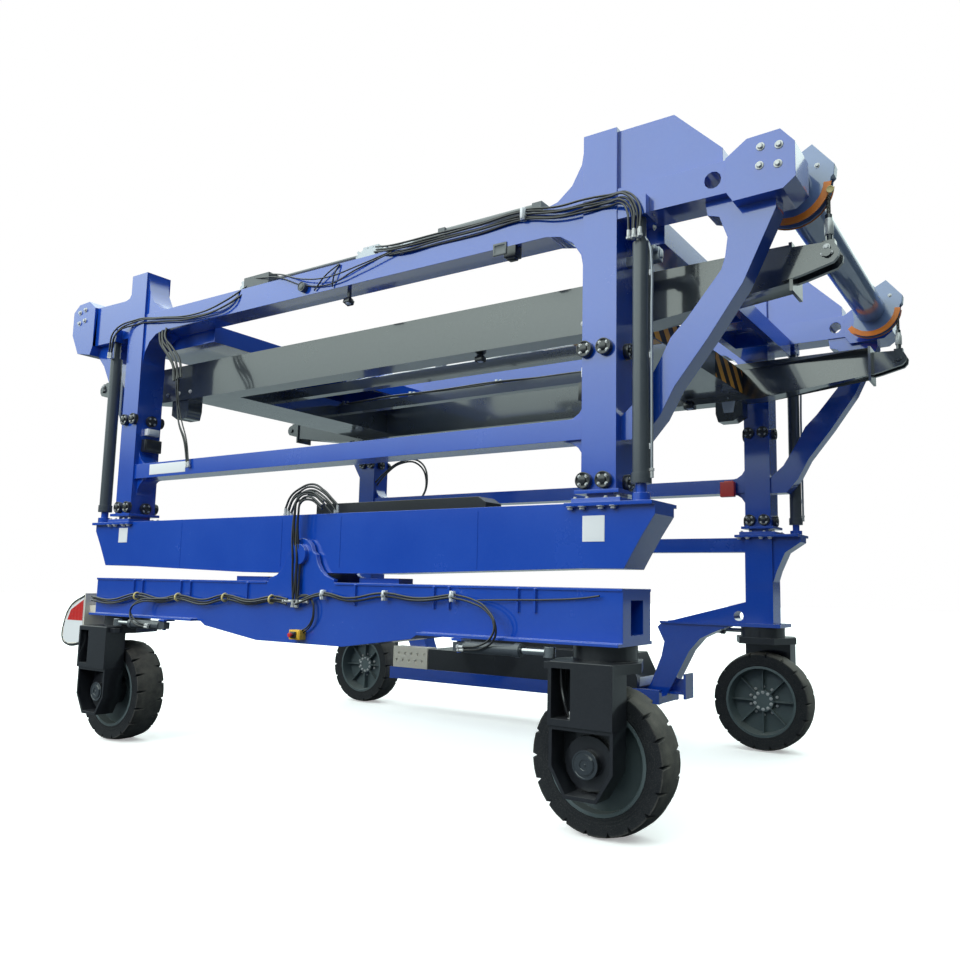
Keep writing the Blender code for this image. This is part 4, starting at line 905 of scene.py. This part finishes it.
routes = {
    "drop": [(0.30, 2.56), (0.12, 2.66), (-0.02, 2.62), (-0.05, 2.48), (-0.05, 2.24), (-0.02, 2.05),
             (-0.02, 1.86), (-0.02, 1.67)],
    "arch": [(-0.34, 2.54), (-0.28, 2.65), (-0.2, 2.70), (-0.05, 2.74), (0.11, 2.68), (0.22, 2.60),
             (0.3, 2.53)],
    "bogieUpper": [(-3.36, 1.60), (-2.99, 1.57), (-2.48, 1.65), (-2.1, 1.61), (-1.76, 1.65), (-1.34, 1.61),
                   (-1.0, 1.67), (-0.65, 1.63), (-0.3, 1.67), (-0.1, 1.65)],
    "bogieRight": [(0.02, 1.64), (0.36, 1.73), (0.69, 1.69), (1.11, 1.74), (1.5, 1.71), (1.85, 1.75)],
    "steerRight": [(1.85, 1.75, -2.385), (2.08, 1.71, -2.41), (2.26, 1.64, -2.46), (2.34, 1.54, -2.475),
                   (2.33, 1.44, -2.475), (2.22, 1.36, -2.474), (2.04, 1.335, -2.468)],
    "steerLeft": [(-1.91, 1.62, -2.385), (-2.12, 1.61, -2.41), (-2.34, 1.59, -2.46), (-2.46, 1.50, -2.475),
                  (-2.44, 1.42, -2.475), (-2.34, 1.36, -2.474), (-2.2, 1.335, -2.468)],
    "bogieThin": [(2.1, 1.72), (2.4, 1.73), (2.75, 1.74), (3.05, 1.76), (3.2, 1.78)],
    "stopLoop": [(-0.02, 1.66), (0.08, 1.71), (0.2, 1.68), (0.24, 1.56), (0.2, 1.44), (0.1, 1.37)],
    "topRight": [(0.62, 5.06, -2.14), (0.94, 4.98, -2.234), (1.49, 4.975), (1.93, 4.97), (2.40, 4.985),
                 (2.74, 4.92, -2.25), (3.0, 4.91, -2.262), (3.22, 4.90, -2.27), (3.38, 4.86, -2.33),
                 (3.46, 4.74, -2.338), (3.47, 4.58, -2.335)],
    "topSag": [(-1.05, 5.12, -2.16), (-0.62, 5.02, -2.24), (-0.25, 4.88), (0.13, 4.82), (0.5, 4.88),
               (0.94, 4.97, -2.238)],
    "forked": [(0.23, 4.98, -2.234), (0.08, 4.90, -2.25), (-0.10, 4.77, -2.236)],
    "forkedBack": [(0.24, 4.98, -2.234), (0.19, 4.88, -2.25), (0.15, 4.76, -2.236)],
    "leftColumn": [(-2.57, 4.73, -2.235), (-2.53, 4.6), (-2.40, 4.45), (-2.28, 4.30), (-2.22, 4.1)],
    "leftFan": [(-2.22, 4.1), (-2.20, 3.86), (-2.14, 3.6), (-2.02, 3.38), (-1.95, 3.13)],
    "farLoop": [(-2.975, 3.40), (-2.8, 3.55), (-2.45, 3.72), (-2.1, 3.68), (-1.95, 3.42), (-2.05, 3.13),
                (-2.4, 3.0), (-2.8, 3.02), (-2.975, 3.0)],
    "topLeft": [(-3.46, 4.56, -2.335), (-3.40, 4.80, -2.33), (-3.1, 4.91, -2.262), (-2.7, 4.88),
                (-1.95, 4.80), (-1.4, 4.86), (-1.15, 5.04, -2.16)],
}
hoseSizes = {"main": 0.0108, "thin": 0.0075, "pipe": 0.012}
clipPlaces = {
    "rings": [(-2.5, 1.645), (-1.77, 1.65), (-1.01, 1.665), (-0.32, 1.665)],
    "blocks": [(0.36, 1.725), (1.11, 1.735), (1.85, 1.745)],
}


def hoseEnds(lines, which, facing, size=1.0):
    return [copyAt(hoseEnd, points[which], facing, size) for points in lines]


def addNearHoses():
    main, thin = hoseSizes["main"], hoseSizes["thin"]
    lines = bundle(routes["drop"], -2.37, 4, 0.026, 0.003)
    drop = tubes("dropHoses", lines, main, "hoseRubber", None)
    fittings = hoseEnds(lines, -1, (0, 0, -1), 0.8)
    for dx in (-0.1, -0.05, 0.06, 0.11):
        fittings.append(copyAt(hoseEnd, at(dx, -2.38, 1.655), (math.copysign(1, dx), 0, 0), 0.75))
    drop = joinForms("dropHoses", [drop] + fittings, None)
    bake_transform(drop)
    arch = bundle(routes["arch"], -2.2, 5, 0.026, 0.005)
    made = [tubes("archHoses", arch, main, "hoseRubber", None)]
    made += hoseEnds(arch, 0, (0, 0, -1), 0.8) + hoseEnds(arch, -1, (0, 0, -1), 0.8)
    joinForms("archHoses", made, "near_base")
    lines = bundle(routes["bogieUpper"], -2.385, 3, 0.022, 0.003)
    lines += bundle(routes["bogieRight"], -2.385, 2, 0.024, 0.003)
    tubes("bogieHoses", lines, main, "hoseRubber", "bogie")
    for name, corner in (("steerRight", "near_right"), ("steerLeft", "near_left")):
        route = routes[name]
        lines = bundle(route, -2.475, 2, 0.026, 0.0)
        fittings = hoseEnds(lines, -1, (-1 if name == "steerRight" else 1, 0, 0), 0.7)
        made = tubes("steerHoses", lines, thin * 1.2, "hoseRubber", None)
        made = joinForms("steerHoses_" + corner, [made] + fittings, None)
        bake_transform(made)
    lines = bundle(routes["bogieThin"], -2.36, 1, 0.02, 0.0)
    lines += bundle(routes["stopLoop"], -2.37, 2, 0.02, 0.004)
    tubes("bogieThinHoses", lines, thin, "hoseRubber", "bogie")
    clips = [copyAt(hoseRing, at(x, -2.385, z), (0, -1, 0)) for x, z in clipPlaces["rings"]]
    clips += [copyAt(hoseBlock, at(x, -2.356, z), (0, -1, 0)) for x, z in clipPlaces["blocks"]]
    clips += [copyAt(bolt, at(x, -2.408, z), (0, -1, 0), 0.8) for x, z in clipPlaces["blocks"]]
    joinForms("hoseClips", clips, "bogie")


fittingPlaces = {
    "banks": [(-1.17, -2.08, 1.0), (0.54, -2.08, 0.9), (1.05, -2.14, 0.45)],   # X, Y and size of a valve bank
    "bankZ": 4.994,
    "block": (2.40, -2.222, 4.985),
    "valve": (3.50, -2.03, 4.45),
    "discLamp": (-0.26, -2.219, 4.83),
    "lamp": (0.26, -2.1, 4.65),
}
fittingBoxes = {
    # low corner, high corner, the way the pushed face looks, inset, push, edge, finish
    "valveArm": ((3.268, -2.06, 4.41), (3.5, -2.0, 4.49), (1, 0, 0), 0.01, 0.05, 0.004, "pipeSteel"),
    "lampStalk": (
        (0.245, -2.115, 4.655), (0.275, -2.085, 4.747), (0, 0, 1), -0.012, 0.002, 0.002, "greyEnamel",
    ),
    "lampBracket": ((2.08, -2.232, 4.68), (2.22, -2.219, 4.79), (0, -1, 0), 0.02, -0.006, 0.003, "greyEnamel"),
    "sensorCase": ((2.19, -2.225, 4.65), (2.31, -2.12, 4.747), (0, 0, -1), 0.02, 0.02, 0.006, "blackEnamel"),
}


def modelFitting(name):
    low, high, facing, inset, push, edge, material = fittingBoxes[name]
    outward = Vector(facing)
    form = startBlock(name, at(*low), at(*high))
    pushFaces(form, lambda middle, normal: normal.dot(outward) > 0.9, inset, outward * push)
    closeForm(form, edge)
    return paint(form, material)


def frameFittings():
    # valve banks, lamps and a sensor on a side frame's top beam
    places = fittingPlaces
    made = [copyAt(hoseBlock, at(*places["block"]), (0, -1, 0), 1.2)]
    for x, y, size in places["banks"]:
        made.append(copyAt(clump, at(x, y, places["bankZ"]), (0, 0, 1), size))
    made.append(copyAt(valve, at(*places["valve"]), (0, -1, 0), 1.2))
    made.append(modelFitting("valveArm"))
    made.append(copyAt(discLamp, at(*places["discLamp"]), (0, -1, 0)))
    made.append(modelFitting("lampStalk"))
    made.append(copyAt(lamp, at(*places["lamp"]), (0, -0.3, -0.95), 0.8))
    made.append(modelFitting("lampBracket"))
    made.append(modelFitting("sensorCase"))
    return made


def addFrameHoses(side, word):
    # the same plumbing on both side frames, mirrored across the carrier
    main, thin = hoseSizes["main"], hoseSizes["thin"]
    right = bundle(routes["topRight"], -2.238, 5, 0.024, 0.003)
    left = bundle(routes["topLeft"], -2.26, 3, 0.026, 0.005)
    sag = bundle(routes["topSag"], -2.26, 2, 0.05, 0.006) + bundle(routes["forked"], -2.25, 1, 0, 0)
    sag += bundle(routes["forkedBack"], -2.25, 1, 0, 0)
    column = bundle(routes["leftColumn"], -2.258, 5, 0.03, 0.004)
    fan = bundle(routes["leftFan"], -2.25, 3, 0.022, 0.012) if side < 0 else []
    made = [tubes("frameHoses", right + left, main * 0.9, "hoseRubber", None)]
    made.append(tubes("sagHoses", sag + fan, thin, "hoseRubber", None))
    made.append(tubes("columnHoses", column, main * 1.25, "hoseRubber", None))
    made += hoseEnds(right, -1, (0, 0, -1), 0.8) + hoseEnds(left, 0, (0, 0, -1), 0.8)
    made += hoseEnds(fan, -1, (0.2, 0, -1), 0.7)
    if side > 0:
        # the far left column's thick loop, drawn here on the near side like the rest
        loop = bundle(routes["farLoop"], -1.98, 2, 0.035, 0.004)
        made.append(tubes("loopHoses", loop, main * 1.3, "hoseRubber", None))
    made += frameFittings()
    whole = joinForms(word + "FrameHoses", made, "upper_frame")
    if side > 0:
        whole.data.transform(Matrix.Scale(-1, 4, (0, 1, 0)))
        clearChoice()
        whole.select_set(True)
        bpy.context.view_layer.objects.active = whole
        bpy.ops.object.mode_set(mode="EDIT")
        bpy.ops.mesh.select_all(action="SELECT")
        bpy.ops.mesh.normals_make_consistent(inside=False)
        bpy.ops.object.mode_set(mode="OBJECT")


columnBoxes = [
    # low corner, high corner, finish: a connector block and a junction box on a column's inner face
    ((2.905, -2.13, 3.53), (2.972, -1.97, 3.61), "whitePlate"),
    ((2.895, -2.16, 3.33), (2.972, -1.94, 3.48), "blackEnamel"),
]


def addColumnBoxes():
    for end, word in ends:
        made = []
        for (x0, y0, z0), (x1, y1, z1), material in columnBoxes:
            low, high = (x0, x1) if end > 0 else (-x1, -x0)
            form = startBlock("box", at(low, y0, z0), at(high, y1, z1))
            pushFaces(form, lambda middle, normal: normal.x * end < -0.9, 0.014, (-end * 0.008, 0, 0))
            closeForm(form, 0.008)
            made.append(paint(form, material))
        joinForms("columnBoxes_" + word, made, "upper_frame")


liftPipes = {
    "outY": 2.24,
    "line": [(3.565, 2.68), (3.565, 3.2), (3.565, 3.9), (3.565, 4.34), (3.55, 4.46), (3.50, 4.56)],
    "clipX": 3.548,
    "clipZ": (2.9, 3.6, 4.25),
}


def addLiftPipes():
    for side, word in sides:
        lines = []
        fittings = []
        y = side * liftPipes["outY"]
        for end in (-1, 1):
            lines.append([at(end * x, y, z) for x, z in liftPipes["line"]])
            x, z = liftPipes["line"][0]
            fittings.append(copyAt(hoseEnd, at(end * x, y, z - 0.02), (0, 0, 1), 0.8))
            for z in liftPipes["clipZ"]:
                fittings.append(copyAt(hoseBlock, at(end * liftPipes["clipX"], y, z), (end, 0, 0), 0.5))
        made = tubes("pipes", lines, hoseSizes["pipe"], "pipeSteel", None)
        joinForms(word + "LiftPipes", [made] + fittings, "upper_frame")


addNearHoses()
addFrameHoses(-1, "near")
addFrameHoses(1, "far")
addColumnBoxes()
addLiftPipes()
print("hoses and pipes are laid")


# Orange bands on the rope sheaves, and the hanging ropes

sheaveBands = {
    "planeY": 1.66,
    "inner": 0.25,
    "outer": 0.306,
    "thick": 0.006,
    "off": 0.0495,
    "start": 6,
    "sweep": 134,
    "steps": 22,
    "boltTurns": (80, 30),
    "boltCircle": 0.235,
}
tubePlaces = {1: (4.48, 4.93), -1: (-4.26, 5.14)}


def addSheaveBands():
    # a flat orange sector on each side of a sheave, from its outer end down and inwards
    sizes = sheaveBands
    for end, word in ends:
        x, z = tubePlaces[end]
        made = []
        for side in (-1, 1):
            for face in (-1, 1):
                y = side * sizes["planeY"] + face * (sizes["off"] + sizes["thick"] / 2)
                middle = at(x, y, z)
                reach = (sizes["inner"], sizes["outer"]) if end > 0 else (-sizes["outer"], -sizes["inner"])
                low = middle + Vector((reach[0], -sizes["thick"] / 2, -0.001))
                high = middle + Vector((reach[1], sizes["thick"] / 2, 0.0))
                form = startBlock("band", low, high)
                bpy.ops.mesh.select_all(action="SELECT")
                bpy.ops.transform.rotate(
                    value=-end * math.radians(sizes["start"]), orient_axis="Y", center_override=middle
                )
                bpy.ops.mesh.select_all(action="DESELECT")
                pickFaces(form, lambda spot, normal: normal.z < -0.9)
                bpy.ops.mesh.spin(
                    steps=sizes["steps"],
                    angle=-end * math.radians(sizes["sweep"]),
                    center=middle,
                    axis=(0, 1, 0),
                )
                bpy.ops.mesh.select_all(action="SELECT")
                bpy.ops.mesh.normals_make_consistent(inside=False)
                closeForm(form, 0.001, 1)
                made.append(paint(form, "orangeBand"))
                for turn in sizes["boltTurns"]:
                    around = math.radians(turn)
                    spot = Vector((end * math.cos(around), 0, math.sin(around))) * sizes["boltCircle"]
                    place = at(x, side * sizes["planeY"] + face * 0.049, z) + spot
                    made.append(copyAt(bolt, place, (0, face, 0), 1.0, turn))
        if end > 0:
            tag = startDrum("tag", at(4.775, -1.7215, 4.83), 0.028, 0.015, 20, "Y")
            pushFaces(tag, lambda spot, normal: normal.y < -0.9, 0.006, (0, 0.003, 0))
            closeForm(tag, 0.002)
            made.append(paint(tag, "creamClip"))
        joinForms("sheaveBands_" + word, made, "torque_" + word)


ropeSizes = {"corners": 24, "pinch": 0.80, "step": 0.008, "turn": 20, "radius": 0.016, "travel": 0.12}


keeperBolts = [(0.0, 4.37, 1.3), (-0.028, 4.325, 0.8), (0.028, 4.325, 0.8)]   # aside, Z, size


def modelRope(length):
    # six strands laid round each other, built up a step and a turn at a time
    sizes = ropeSizes
    count = round(length / sizes["step"])
    step = length / count
    form = startDrum("ropePattern", (0, 0, step / 2), sizes["radius"], step, sizes["corners"])
    bpy.ops.mesh.select_mode(type="VERT")
    sketch = bmesh.from_edit_mesh(form.data)
    for spot in sketch.verts:
        place = round(math.atan2(spot.co.x, spot.co.y) / (2 * math.pi) * sizes["corners"])
        if place % 4 == 0:
            spot.select_set(True)
    bmesh.update_edit_mesh(form.data)
    bpy.ops.transform.resize(value=(sizes["pinch"], sizes["pinch"], 1), center_override=(0, 0, 0))
    bpy.ops.mesh.select_mode(type="FACE")
    pickFaces(form, lambda middle, normal: normal.z > 0.9)
    for i in range(count - 1):
        bpy.ops.mesh.extrude_region_move(TRANSFORM_OT_translate={"value": (0, 0, step)})
        bpy.ops.transform.rotate(
            value=math.radians(sizes["turn"]), orient_axis="Z", center_override=(0, 0, 0)
        )
    closeForm(form, 0, 2, 32, 70)
    return keepPattern(paint(form, "wireRope"))


def addRopes():
    # each rope hangs from its sheave in place of the packed rope, which is hidden; its socket and keeper bolts go
    # on the spreader
    for end, word in ends:
        pattern = None
        sockets = []
        for side, sideWord in sides:
            node = "rope_" + sideWord + "_" + word
            low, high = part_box(node)
            pattern = pattern or modelRope(high.z - low.z)
            x, y = (low.x + high.x) / 2, (low.y + high.y) / 2
            rope = copyAt(pattern, Vector((x, y, low.z)), (0, 0, 1))
            rope.name = "hangingRope_" + sideWord + "_" + word
            hold(rope, "upper_frame")
            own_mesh(rope)
            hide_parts(node)
            sockets.append(copyAt(socket, Vector((x, y, 4.50)), (0, 0, 1)))
            out = 1 if side > 0 else -1
            for dx, z, size in keeperBolts:
                sockets.append(copyAt(bolt, Vector((x + dx, out * 1.765, z)), (0, out, 0), size))
        joinForms("ropeSockets_" + word, sockets, "spreader")


addSheaveBands()
addRopes()
print("sheave bands and ropes are on")


# Stop button, blank plates and weld beads on the near side

stopSizes = {"middle": (0.04, 1.345), "half": (0.07, 0.045), "deep": 0.05, "wall": -2.36}


def addStopButton():
    x, z = stopSizes["middle"]
    halfX, halfZ = stopSizes["half"]
    wall = stopSizes["wall"]
    front = wall - stopSizes["deep"]
    case = startBlock("stopCase", at(x - halfX, front, z - halfZ), at(x + halfX, wall + 0.03, z + halfZ))
    pushFaces(case, lambda middle, normal: normal.y < -0.9, 0.01, (0, -0.006, 0))
    closeForm(case, 0.006)
    paint(case, "yellowClip")
    low, high = at(x - 0.035, front - 0.024, z - 0.03), at(x + 0.035, front + 0.002, z + 0.03)
    switch = startBlock("stopSwitch", low, high)
    pushFaces(switch, lambda middle, normal: normal.y < -0.9, 0.008, (0, -0.006, 0))
    closeForm(switch, 0.004)
    paint(switch, "blackEnamel")
    knob = startDrum("stopKnob", at(x, front - 0.036, z), 0.012, 0.02, 20, "Y")
    pickFaces(knob, lambda middle, normal: normal.y < -0.9)
    bpy.ops.mesh.extrude_region_move(TRANSFORM_OT_translate={"value": (0, -0.002, 0)})
    bpy.ops.transform.resize(value=(1.9, 1, 1.9))
    bpy.ops.mesh.extrude_region_move(TRANSFORM_OT_translate={"value": (0, -0.018, 0)})
    closeForm(knob, 0.004)
    paint(knob, "redPlastic")
    joinForms("stopButton", [case, switch, knob], "bogie")


plates = [
    # low corner, high corner, finish, body, slot: blank plates where the real one carries words
    ((3.0, -2.268, 2.19), (3.19, -2.2645, 2.39), "whitePlate", "near_base", "light_paint"),
    ((-3.12, -2.268, 2.25), (-2.95, -2.2645, 2.42), "whitePlate", "near_base", "light_paint"),
    ((-2.68, -2.2225, 3.03), (-2.02, -2.2195, 3.15), "whitePlate", "upper_frame", "light_paint"),
]


def addPlates():
    for i, (low, high, material, body, slot) in enumerate(plates):
        form = startBlock("blankPlate" + str(i + 1), at(*low), at(*high))
        pickFaces(form, lambda middle, normal: normal.y < -0.9)
        bpy.ops.mesh.inset(thickness=0.006, depth=0.0008)
        closeForm(form, 0.0008)
        paint(form, material)
        hold(form, body)


def addWelds():
    lines = []
    for x in (2.01, 0.44, -0.36, -1.95):
        lines.append([at(x, -2.265, 1.98), at(x, -2.265, 2.2), at(x, -2.265, 2.455)])
    tubes("baseWelds", lines, 0.004, "blueEnamel", "near_base")


addStopButton()
addPlates()
addWelds()
print("stop button, plates and welds are on")


# Guard box at the bogie's left end

guardSizes = {
    "bow": [(-3.625, 1.621), (-3.915, 1.481), (-4.025, 1.281), (-4.035, 1.111), (-3.945, 1.051), (-3.625, 1.071)],
    "low": (-3.98, 1.33),
    "high": (-3.635, 1.59),
    "margin": 0.035,
}


def addGuardGrid():
    # a white panel cut to the bow, the bow's rubber edge and a red grille
    bow = guardSizes["bow"]
    panel = startBlock("guardPanel", at(-4.03, -2.3265, 1.055), at(-3.63, -2.3125, 1.615))
    for (fromX, fromZ), (toX, toZ) in zip(bow, bow[1:]):
        bpy.ops.mesh.select_all(action="SELECT")
        bpy.ops.mesh.bisect(
            plane_co=at(fromX, -2.32, fromZ),
            plane_no=(toZ - fromZ, 0, fromX - toX),
            clear_outer=True,
            use_fill=True,
        )
    closeForm(panel, 0.001, 1)
    paint(panel, "whitePlate")
    x0, z0 = guardSizes["low"]
    x1, z1 = guardSizes["high"]
    form = startBlock("guardGrid", at(x0, -2.329, z0), at(x1, -2.3255, z1))
    pickFaces(form, lambda middle, normal: abs(normal.y) > 0.9)
    bpy.ops.mesh.subdivide(number_cuts=4)
    pickFaces(form, lambda middle, normal: normal.y < -0.9)
    bpy.ops.mesh.inset(thickness=0.007, depth=-0.002, use_individual=True)
    for (fromX, fromZ), (toX, toZ) in zip(bow[:3], bow[1:3]):
        bpy.ops.mesh.select_all(action="SELECT")
        outward = Vector((toZ - fromZ, 0, fromX - toX)).normalized()
        place = at(fromX, -2.32, fromZ) - outward * guardSizes["margin"]
        bpy.ops.mesh.bisect(plane_co=place, plane_no=outward, clear_outer=True, use_fill=True)
    closeForm(form)
    paint(form, "redPlastic")
    edge = tubes("guardEdge", [[at(x, -2.314, z) for x, z in bow]], 0.019, "hoseRubber", None)
    joinForms("guardPanel", [panel, form, edge], "bogie")


addGuardGrid()
print("guard is on the bogie")


# Striped plates, corner shields, hoses and valves on the spreader

hazardPlates = [
    # low corner, high corner on the cross member's outer and lower faces
    ((3.1, -1.46, 4.105), (3.104, -0.55, 4.375)),
    ((3.1, 0.55, 4.105), (3.104, 1.46, 4.375)),
    ((2.36, -1.46, 4.096), (3.09, -0.9, 4.0995)),
    ((-3.104, -1.46, 4.105), (-3.1, -0.55, 4.375)),
    ((-3.104, 0.55, 4.105), (-3.1, 1.46, 4.375)),
]


def addSpreaderTrim():
    for i, (low, high) in enumerate(hazardPlates):
        form = startBlock("hazardPlate" + str(i + 1), at(*low), at(*high))
        pickFaces(form, lambda middle, normal: abs(normal.x) > 0.9 or normal.z < -0.9)
        bpy.ops.mesh.inset(thickness=0.004, depth=0)
        closeForm(form, 0.0008)
        paint(form, "hazardPaint")
        hold(form, "spreader")
    made = []
    for end in (-1, 1):
        for side in (-1, 1):
            x = end * 2.9265
            y = side * 1.495
            low = at(x - 0.1, min(y - side * 0.012, y + side * 0.004), 3.9)
            high = at(x + 0.1, max(y - side * 0.012, y + side * 0.004), 4.12)
            form = startBlock("shield", low, high)
            pickFaces(form, lambda spot, normal: normal.z < -0.9)
            bpy.ops.transform.resize(value=(0.55, 1, 1))
            pickFaces(form, lambda spot, normal: abs(normal.y) > 0.9)
            bpy.ops.mesh.inset(thickness=0.02, depth=0.004)
            closeForm(form, 0.002)
            made.append(paint(form, "whitePlate"))
            made.append(copyAt(bolt, at(x, y - side * 0.016, 4.07), (0, -side, 0), 0.9))
            for dx in (-0.22, 0.0, 0.22):
                made.append(copyAt(bolt, at(x + dx, side * 1.726, 4.12), (0, side, 0), 1.2))
    joinForms("cornerShields", made, "spreader")


trimRoutes = {
    "inner": [(-2.2, 0.44, 4.335), (-1.4, 0.40, 4.345), (-0.5, 0.47, 4.345), (0.3, 0.42, 4.345),
              (1.2, 0.48, 4.345), (2.0, 0.42, 4.345), (2.45, 0.30, 4.40), (2.6, 0.1, 4.41)],
    "cross": [(2.5, -1.3, 4.41), (2.55, -0.8, 4.41), (2.45, -0.2, 4.42), (2.6, 0.4, 4.41), (2.5, 1.2, 4.41)],
    "crossLeft": [(-2.5, -1.3, 4.41), (-2.6, -0.6, 4.41), (-2.5, 0.1, 4.42), (-2.6, 0.7, 4.41),
                  (-2.5, 1.3, 4.41)],
}


def addSpreaderHoses():
    lines = []
    for name in ("inner", "cross", "crossLeft"):
        for i in range(3):
            sway = [0.03 * math.sin(2.1 * j + 1.7 * i) for j in range(len(trimRoutes[name]))]
            if name == "inner":
                lines.append([at(x, y + 0.03 * i + s, z) for (x, y, z), s in zip(trimRoutes[name], sway)])
            else:
                lines.append([at(x + 0.03 * i + s, y, z) for (x, y, z), s in zip(trimRoutes[name], sway)])
    made = [tubes("spreaderHoses", lines, hoseSizes["main"], "hoseRubber", None)]
    mirrored = [[Vector((p.x, -p.y, p.z)) for p in line] for line in lines[:3]]
    made.append(tubes("paleHoses", mirrored, hoseSizes["thin"], "whitePlate", None))
    for x in (-2.42, -1.2, 0.2, 1.5, 2.42):
        made.append(copyAt(valve, at(x, -0.5, 4.321), (0, 0, 1), 0.9))
        made.append(copyAt(valve, at(x + 0.1, 0.55, 4.321), (0, 0, 1), 0.7))
    made.append(copyAt(valve, at(2.72, -1.1, 4.381), (0, 0, 1), 1.1))
    made.append(copyAt(valve, at(2.72, 1.0, 4.381), (0, 0, 1), 1.1))
    made.append(copyAt(lamp, at(2.45, 1.5, 4.06), (0, 0, -1), 1.2))
    made.append(copyAt(lamp, at(1.53, -1.6, 4.01), (0, 0, -1), 0.8))
    joinForms("spreaderHoses", made, "spreader")


addSpreaderTrim()
addSpreaderHoses()
print("spreader trim is on")


# Power pack end panel and fork pipes

def addPackPanel():
    form = startBlock("packPanel", at(1.655, 1.80, 0.63), at(1.668, 2.30, 0.735))
    pickFaces(form, lambda middle, normal: normal.x > 0.9)
    bpy.ops.mesh.inset(thickness=0.015, depth=0)
    bpy.ops.mesh.extrude_region_move(TRANSFORM_OT_translate={"value": (0.004, 0, 0)})
    closeForm(form, 0.002)
    paint(form, "whitePlate")
    hold(form, "far_base")


forkPipe = [(-0.2, 0, 1.25), (-0.19, 0, 1.1), (-0.15, 0.02, 0.98), (-0.12, 0, 0.88)]


def addForkPipes():
    for side, sideWord in sides:
        for end, endWord in ends:
            corner = sideWord + "_" + endWord
            x = end * wheelPlaces["alongX"]
            y = side * 2.42
            line = [at(x + dx, y + side * dy, z) for dx, dy, z in forkPipe]
            material = "pipeSteel" if end < 0 else "hoseRubber"
            made = [tubes("forkPipe", [line], hoseSizes["pipe"], material, None)]
            made.append(copyAt(hoseEnd, line[-1] + Vector((0, 0, 0.05)), (0, 0, -1), 0.7))
            joinForms("forkPipe_" + corner, made, "fork_" + corner)


addPackPanel()
addForkPipes()
print("low details are on")

for form in patterns:
    bpy.data.objects.remove(form)
